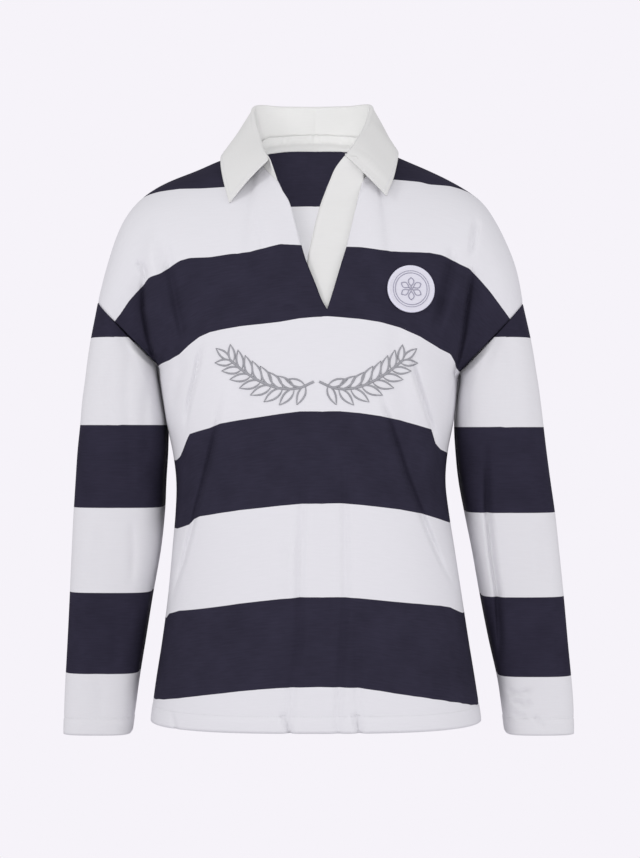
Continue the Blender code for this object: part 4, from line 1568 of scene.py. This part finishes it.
@dataclass(frozen=True)
class FrontMarks:
    """Way of laying cloth and thread on the front.

    Attributes:
        tree: Search tree of the front.
    """

    tree: BVHTree

    def on_front(self, place: Vector, lift: float) -> Vector:
        """Point over the front.

        Args:
            place: Place in front view.
            lift: Distance out from the cloth.

        Returns:
            The point.
        """
        start = Vector((place.x, -400.0, place.z))
        hit, normal, _, _ = self.tree.ray_cast(start, Vector((0, 1, 0)))
        return hit + normal * lift

    def thread(self, piece: ClothPiece, points: Sequence[Vector], band: Band) -> None:
        """Lay a row of satin stitch along a line.

        Args:
            piece: Where it is added.
            points: Points of the line in front view.
            band: Its section.
        """
        path = Path(points)

        def surface(across: float, along: float) -> Place:
            """Place on the row for shares across and along."""
            offset = across * 2 - 1
            half = band.width / 2
            if band.pointed:
                half *= 0.12 + 0.88 * math.sin(math.pi * along) ** 0.7
            beside = beside_of(heading(path.at, along, 0.01).normalized())
            place = path.at(along) + beside * offset * half
            height = band.lift + band.rise * math.sqrt(max(1 - offset * offset, 0.0))
            return Place(self.on_front(place, height), offset * half + place.x,
                         along * path.length + place.z)

        rows = max(int(path.length / SATIN_STEP), SATIN_COLUMNS)
        piece.add_grid((SATIN_COLUMNS, rows), surface)

    def leaf(self, piece: ClothPiece, base: Vector, way: Vector, bow: float, skew: float,
             band: Band) -> None:
        """Lay the two bowed edges of a leaf or petal.

        Args:
            piece: Where they are added.
            base: Where the leaf starts.
            way: From its base to its tip.
            bow: Half width of the leaf.
            skew: Above 1 the widest place lies beyond the middle.
            band: Section of the stitching.
        """
        beside = beside_of(way.normalized()) * bow
        for edge in SIDES:
            points = []
            for step in range(9):
                u = step / 8
                points.append(base + way * u + beside * edge * math.sin(math.pi * u ** skew))
            self.thread(piece, points, band)


@dataclass(frozen=True)
class Patch:
    """Round chest patch with a sewn rim, thread rings and a flower.

    Attributes:
        marks: Lays it on the front.
        middle: Its middle in front view.
        radius: Its radius.
        lift: Height of its face over the cloth.
        wall: Thickness of its cloth.
        grid: Faces round and out.
        thread_wall: Thickness of the thread.
        rim_inset: How far the middle of the rim lies inside the edge.
        rim_band: Section of the rim.
        rings: Radius and section of each ring.
        petals: Number of petals.
        petal: Start, length and half width of a petal.
        petal_band: Section of its edges.
    """

    marks: FrontMarks
    middle: Triple = (105.0, 0.0, -162.0)
    radius: float = 26.0
    lift: float = 1.9
    wall: float = 1.2
    grid: tuple[int, int] = (96, 20)
    thread_wall: float = 0.3
    rim_inset: float = 1.2
    rim_band: Band = Band(3.0, 1.5, 0.9)
    rings: tuple[tuple[float, Band], ...] = (
        (1.3, Band(1.5, 2.0, 0.4)), (17.6, Band(0.9, 2.0, 0.4)), (20.0, Band(0.7, 2.0, 0.4)))
    petals: int = 6
    petal: Triple = (2.4, 10.0, 3.1)
    petal_band: Band = Band(1.1, 2.0, 0.45)

    def at(self, degrees: float, reach: float) -> Vector:
        """Place in front view at an angle and distance from its middle."""
        return Vector(self.middle) + turned(degrees) * reach

    def ring(self, radius: float) -> list[Vector]:
        """Points of a ring round its middle."""
        return [self.at(10.0 * step, radius) for step in range(37)]

    def place(self, turn: float, ring: float) -> Place:
        """Place on the cloth for shares of the way round and out."""
        place = self.at(360.0 * turn, self.radius * ring)
        rim = 0.5 * ease(0.82, 0.9, ring) * (1 - 0.5 * ease(0.95, 1.0, ring))
        return Place(self.marks.on_front(place, self.lift + rim), place.x, place.z)

    def cloth(self, material: Material) -> Piece:
        """Build the patch, of the material that is given."""
        piece = ClothPiece("patch_cloth")
        piece.add_grid(self.grid, self.place)
        return piece.finish(self.wall, material)

    def flower(self, material: Material) -> Piece:
        """Build the flower and the rings, of the thread that is given."""
        piece = ClothPiece("patch_flower")
        start, length, bow = self.petal
        for number in range(self.petals):
            angle = 360.0 / self.petals * (number + 0.5)
            self.marks.leaf(piece, self.at(angle, start), turned(angle) * length, bow, 1.25,
                            self.petal_band)
        for radius, band in self.rings:
            self.marks.thread(piece, self.ring(radius), band)
        return piece.finish(self.thread_wall, material)

    def rim(self, material: Material) -> Piece:
        """Build the sewn rim, of the thread that is given."""
        piece = ClothPiece("patch_rim")
        self.marks.thread(piece, self.ring(self.radius - self.rim_inset), self.rim_band)
        return piece.finish(self.thread_wall, material)


@dataclass(frozen=True)
class Spray:
    """Leaf spray, with both branches alike.

    Attributes:
        marks: Lays it on the front.
        base: Where the branches meet, (x, z).
        stem: Points of one stem from there out, (x, z).
        stem_band: Section of the stem.
        pairs: Leaf pairs on one stem.
        size: Length of the longest leaf.
        slender: Half width of a leaf for its length.
        angle: Angle between leaf and stem in degrees.
        leaf_band: Section of the edges of a leaf.
        wall: Thickness of the thread.
    """

    marks: FrontMarks
    base: tuple[float, float] = (2.0, -252.0)
    stem: Pairs = ((3, -12), (20, -19), (40, -19), (60, -12), (78, -1), (94, 12))
    stem_band: Band = Band(2.8, 0.25, 0.8)
    pairs: int = 8
    size: float = 25.0
    slender: float = 0.17
    angle: float = 42.0
    leaf_band: Band = Band(2.1, 0.25, 0.65, True)
    wall: float = 0.4

    def leaf(self, piece: ClothPiece, base: Vector, ahead: Vector, turn: int, size: float) -> None:
        """Lay one leaf.

        Args:
            piece: Where it is added.
            base: Where it grows from.
            ahead: Direction of the stem.
            turn: Side of the stem, 0 at the tip.
            size: Length of the leaf.
        """
        lean = turned(turn * self.angle)
        way = (ahead * lean.x + beside_of(ahead) * lean.z) * size
        self.marks.leaf(piece, base, way, size * self.slender, 0.85, self.leaf_band)

    def build(self, material: Material) -> Piece:
        """Build the embroidery, of the thread that is given."""
        piece = ClothPiece("leaf_spray")
        for side in SIDES:
            points = [Vector((self.base[0] + side * x, 0.0, self.base[1] + z))
                      for x, z in self.stem]
            self.marks.thread(piece, points, self.stem_band)
            path = Path(points)
            for pair in range(self.pairs):
                share = 0.1 + 0.86 * pair / (self.pairs - 1)
                ahead = heading(path.at, share, 0.02).normalized()
                size = self.size * (0.72 + 0.28 * math.sin(math.pi * (0.15 + 0.8 * share)))
                for turn in SIDES:
                    self.leaf(piece, path.at(share), ahead, turn, size)
            ahead = heading(path.at, 1.0, 0.04).normalized()
            self.leaf(piece, path.at(1.0), ahead, 0, self.size * 0.8)
        return piece.finish(self.wall, material)


def add_plate(name: str, place: Matrix, colour: Triple, glow: float) -> None:
    """Add a flat plate to the stage.

    Args:
        name: Name of the object.
        place: Turns a square of two metres into the plate.
        colour: Its colour.
        glow: Strength of its own light, without which it is lit by the lamps.
    """
    working = bmesh.new()
    bmesh.ops.create_grid(working, x_segments=1, y_segments=1, size=1.0, matrix=place)
    base = (0.0, 0.0, 0.0) if glow else colour
    material, _, _ = new_material(name, {
        "Base Color": (*base, 1.0), "Roughness": 1.0, "Specular IOR Level": 0.0,
        "Emission Color": (*colour, 1.0), "Emission Strength": glow})
    add_object(name, working, material)


class Lamp(NamedTuple):
    """One soft lamp: place and target in metres, power in watts, width in metres."""

    name: str
    place: Triple
    power: float
    size: float
    target: Triple = (0.0, 0.0, -0.32)

    def build(self) -> None:
        """Add the lamp."""
        lamp = bpy.data.lights.new(self.name, "AREA")
        lamp.energy = self.power
        lamp.shape = "DISK"
        lamp.size = self.size
        holder = add_holder(self.name, lamp)
        holder.location = self.place
        aim = Vector(self.target) - Vector(self.place)
        holder.rotation_euler = aim.to_track_quat("-Z", "Y").to_euler()


LAMPS = (
    Lamp("front", (-0.1, -2.3, -0.3), 11.5, 0.35),
    Lamp("key", (-2.0, -1.5, 0.8), 14.0, 0.8),
    Lamp("fill", (2.3, -1.3, 0.1), 11.5, 1.2),
    Lamp("neck", (0.01, -0.045, -0.085), 0.115, 0.08, (0.0, 0.11, -0.075)),
    Lamp("slit", (0.004, -0.05, -0.16), 0.045, 0.06, (0.0, 0.11, -0.14)),
)


def build_stage() -> None:
    """Floor, backdrop, world, lamps and camera."""
    scene = bpy.context.scene
    add_plate("floor", Matrix.LocRotScale(Vector((0, 0, -2.5)), None, Vector((9, 9, 1))),
              (0.86, 0.84, 0.88), 0.0)
    upright = Matrix.Rotation(math.radians(90.0), 3, "X")
    add_plate("backdrop", Matrix.LocRotScale(Vector((0, 6, 0)), upright, Vector((3.2, 2.5, 1))),
              (0.922, 0.896, 0.948), 1.0)
    scene.world = bpy.data.worlds.new("studio")
    scene.world.use_nodes = True
    tree = scene.world.node_tree
    Nodes(tree).feed(tree.nodes["Background"], {
        "Color": (0.94, 0.93, 0.96, 1.0), "Strength": 0.66})
    for lamp in LAMPS:
        lamp.build()
    camera = bpy.data.cameras.new("camera")
    camera.sensor_width = 36.0
    camera.lens = 72.97
    scene.camera = add_holder("camera", camera)
    scene.camera.location = (0.00575, -2.0, -0.315)
    scene.camera.rotation_euler = (math.radians(90.0), 0.0, 0.0)
    scene.view_settings.view_transform = "Standard"


class Held(Enum):
    """Ways in which the sheets are held."""

    DRAPED = "draped"
    FOLDED = "folded"
    LAID = "laid"


class Cut(NamedTuple):
    """Flat cut of one sheet in metres, with what it rests on and what is sewn on it."""

    name: str
    flat: tuple[float, float]
    area: float
    held: Held
    rests_on: tuple[str, ...] = ()
    carries: tuple[str, ...] = ()


CUTS = (
    Cut("front_cloth", (0.530, 0.690), 0.314, Held.DRAPED, (), ("leaf_spray", "hem_stitches")),
    Cut("back_cloth", (0.530, 0.700), 0.317, Held.DRAPED),
    Cut("sleeve_right_cloth", (0.345, 0.510), 0.147, Held.DRAPED, (), ("cuff_stitches",)),
    Cut("sleeve_left_cloth", (0.345, 0.510), 0.148, Held.DRAPED),
    Cut("collar_cloth", (0.470, 0.100), 0.0395, Held.FOLDED, ("front_cloth", "back_cloth"),
        ("collar_stitches",)),
    Cut("tape_cloth", (0.200, 0.024), 0.0043, Held.LAID, ("back_cloth",)),
    Cut("strip_cloth", (0.046, 0.190), 0.0075, Held.LAID, ("front_cloth",)),
    Cut("patch_cloth", (0.052, 0.052), 0.00213, Held.LAID, ("front_cloth",),
        ("patch_flower", "patch_rim")),
)


@dataclass
class PoloShirt:
    """The whole shirt.

    Attributes:
        pieces: Built objects by name.
    """

    pieces: dict[str, Piece] = field(default_factory=dict)

    def keep(self, piece: Piece, slot: str, *nodes: str) -> BVHTree:
        """Tie a piece to the frame.

        Args:
            piece: The object.
            slot: Material slot, not used.
            nodes: Solids that it stands for.

        Returns:
            Its search tree.
        """
        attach(piece, "root")
        if nodes:
            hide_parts(*nodes)
        self.pieces[piece.name] = piece
        LOG.info("built %s", piece.name)
        return tree_of(piece)

    def build(self) -> None:
        """Build every piece and look up the sheet of each cut."""
        groups = band_group(), knit_group()
        jersey, twill = JERSEY.make(*groups), TWILL.make(*groups)
        # The sleeves get the darker copy of the jersey, whose colours carry painted shade.
        shaded_sleeve_jersey = SHADED_SLEEVE_JERSEY.make(*groups)
        trees = [self.keep(half.build(jersey), "jersey", half.name) for half in (FRONT, BACK)]
        sleeves = Sleeve(-1, "sleeve_right"), Sleeve(1, "sleeve_left")
        sleeve_trees = [self.keep(sleeve.build(shaded_sleeve_jersey), "jersey", sleeve.name)
                        for sleeve in sleeves]
        self.keep(PlacketStrip().build(twill), "twill", "placket_strip")
        collar = Collar(trees)
        collar_tree = self.keep(collar.build(twill), "twill", "collar")
        self.keep(collar.tape(twill), "twill", "neck_tape")
        marks = FrontMarks(trees[0])
        patch = Patch(marks)
        self.keep(patch.cloth(PATCH.make(*groups)), "patch", "chest_patch")
        self.keep(Spray(marks).build(SILVER.make(*groups)), "patch")
        self.keep(patch.flower(LILAC.make(*groups)), "patch")
        self.keep(patch.rim(RIM.make(*groups)), "patch")
        thread = THREAD.make(*groups)
        self.keep(self.hem(trees).finish(thread), "jersey")
        self.keep(self.cuffs(sleeves, sleeve_trees).finish(thread), "jersey")
        self.keep(self.collar_edge(collar, collar_tree).finish(thread), "twill")
        self.declare()

    @staticmethod
    def hem(trees: Sequence[BVHTree]) -> Stitches:
        """Stitches of the hem, on the search trees of front and back."""
        stitches = Stitches("hem_stitches")
        height = HEM_HEIGHT + HEM_TURN
        for half, tree in zip((FRONT, BACK), trees):
            for side in SIDES:
                quarter = Quarter(half, side)
                stitches.run(tree, lambda share: quarter.ring(share * 0.985, height), 285.0)
        return stitches

    @staticmethod
    def cuffs(sleeves: Sequence[Sleeve], trees: Sequence[BVHTree]) -> Stitches:
        """Stitches of the cuffs.

        Args:
            sleeves: The sleeves.
            trees: Their search trees.

        Returns:
            The stitches.
        """
        stitches = Stitches("cuff_stitches")
        for sleeve, tree in zip(sleeves, trees):
            for panel in Panel:
                stitches.run(tree, lambda share: sleeve.point(CUFF_STITCH_RING, panel, share),
                             116.0)
        return stitches

    @staticmethod
    def collar_edge(collar: Collar, tree: BVHTree) -> Stitches:
        """Stitches along the edge and the front ends of the collar.

        Args:
            collar: The collar.
            tree: Its search tree.

        Returns:
            The stitches.
        """
        stitches = Stitches("collar_stitches", 2.9, 2.1)
        for side in SIDES:
            stitches.run(tree, lambda share: collar.point(side, share * 0.965, 0.955), 270.0)
            stitches.run(tree, lambda share: collar.point(side, 0.968, 0.5 + 0.455 * share), 55.0)
        return stitches

    def declare(self) -> None:
        """Look up the sheet of each cut by name."""
        for cut in CUTS:
            self.pieces[cut.name]


def main() -> None:
    """Build the scene."""
    logging.basicConfig(level=logging.INFO, format="%(message)s")
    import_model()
    PoloShirt().build()
    build_stage()


if __name__ == "__main__":
    main()
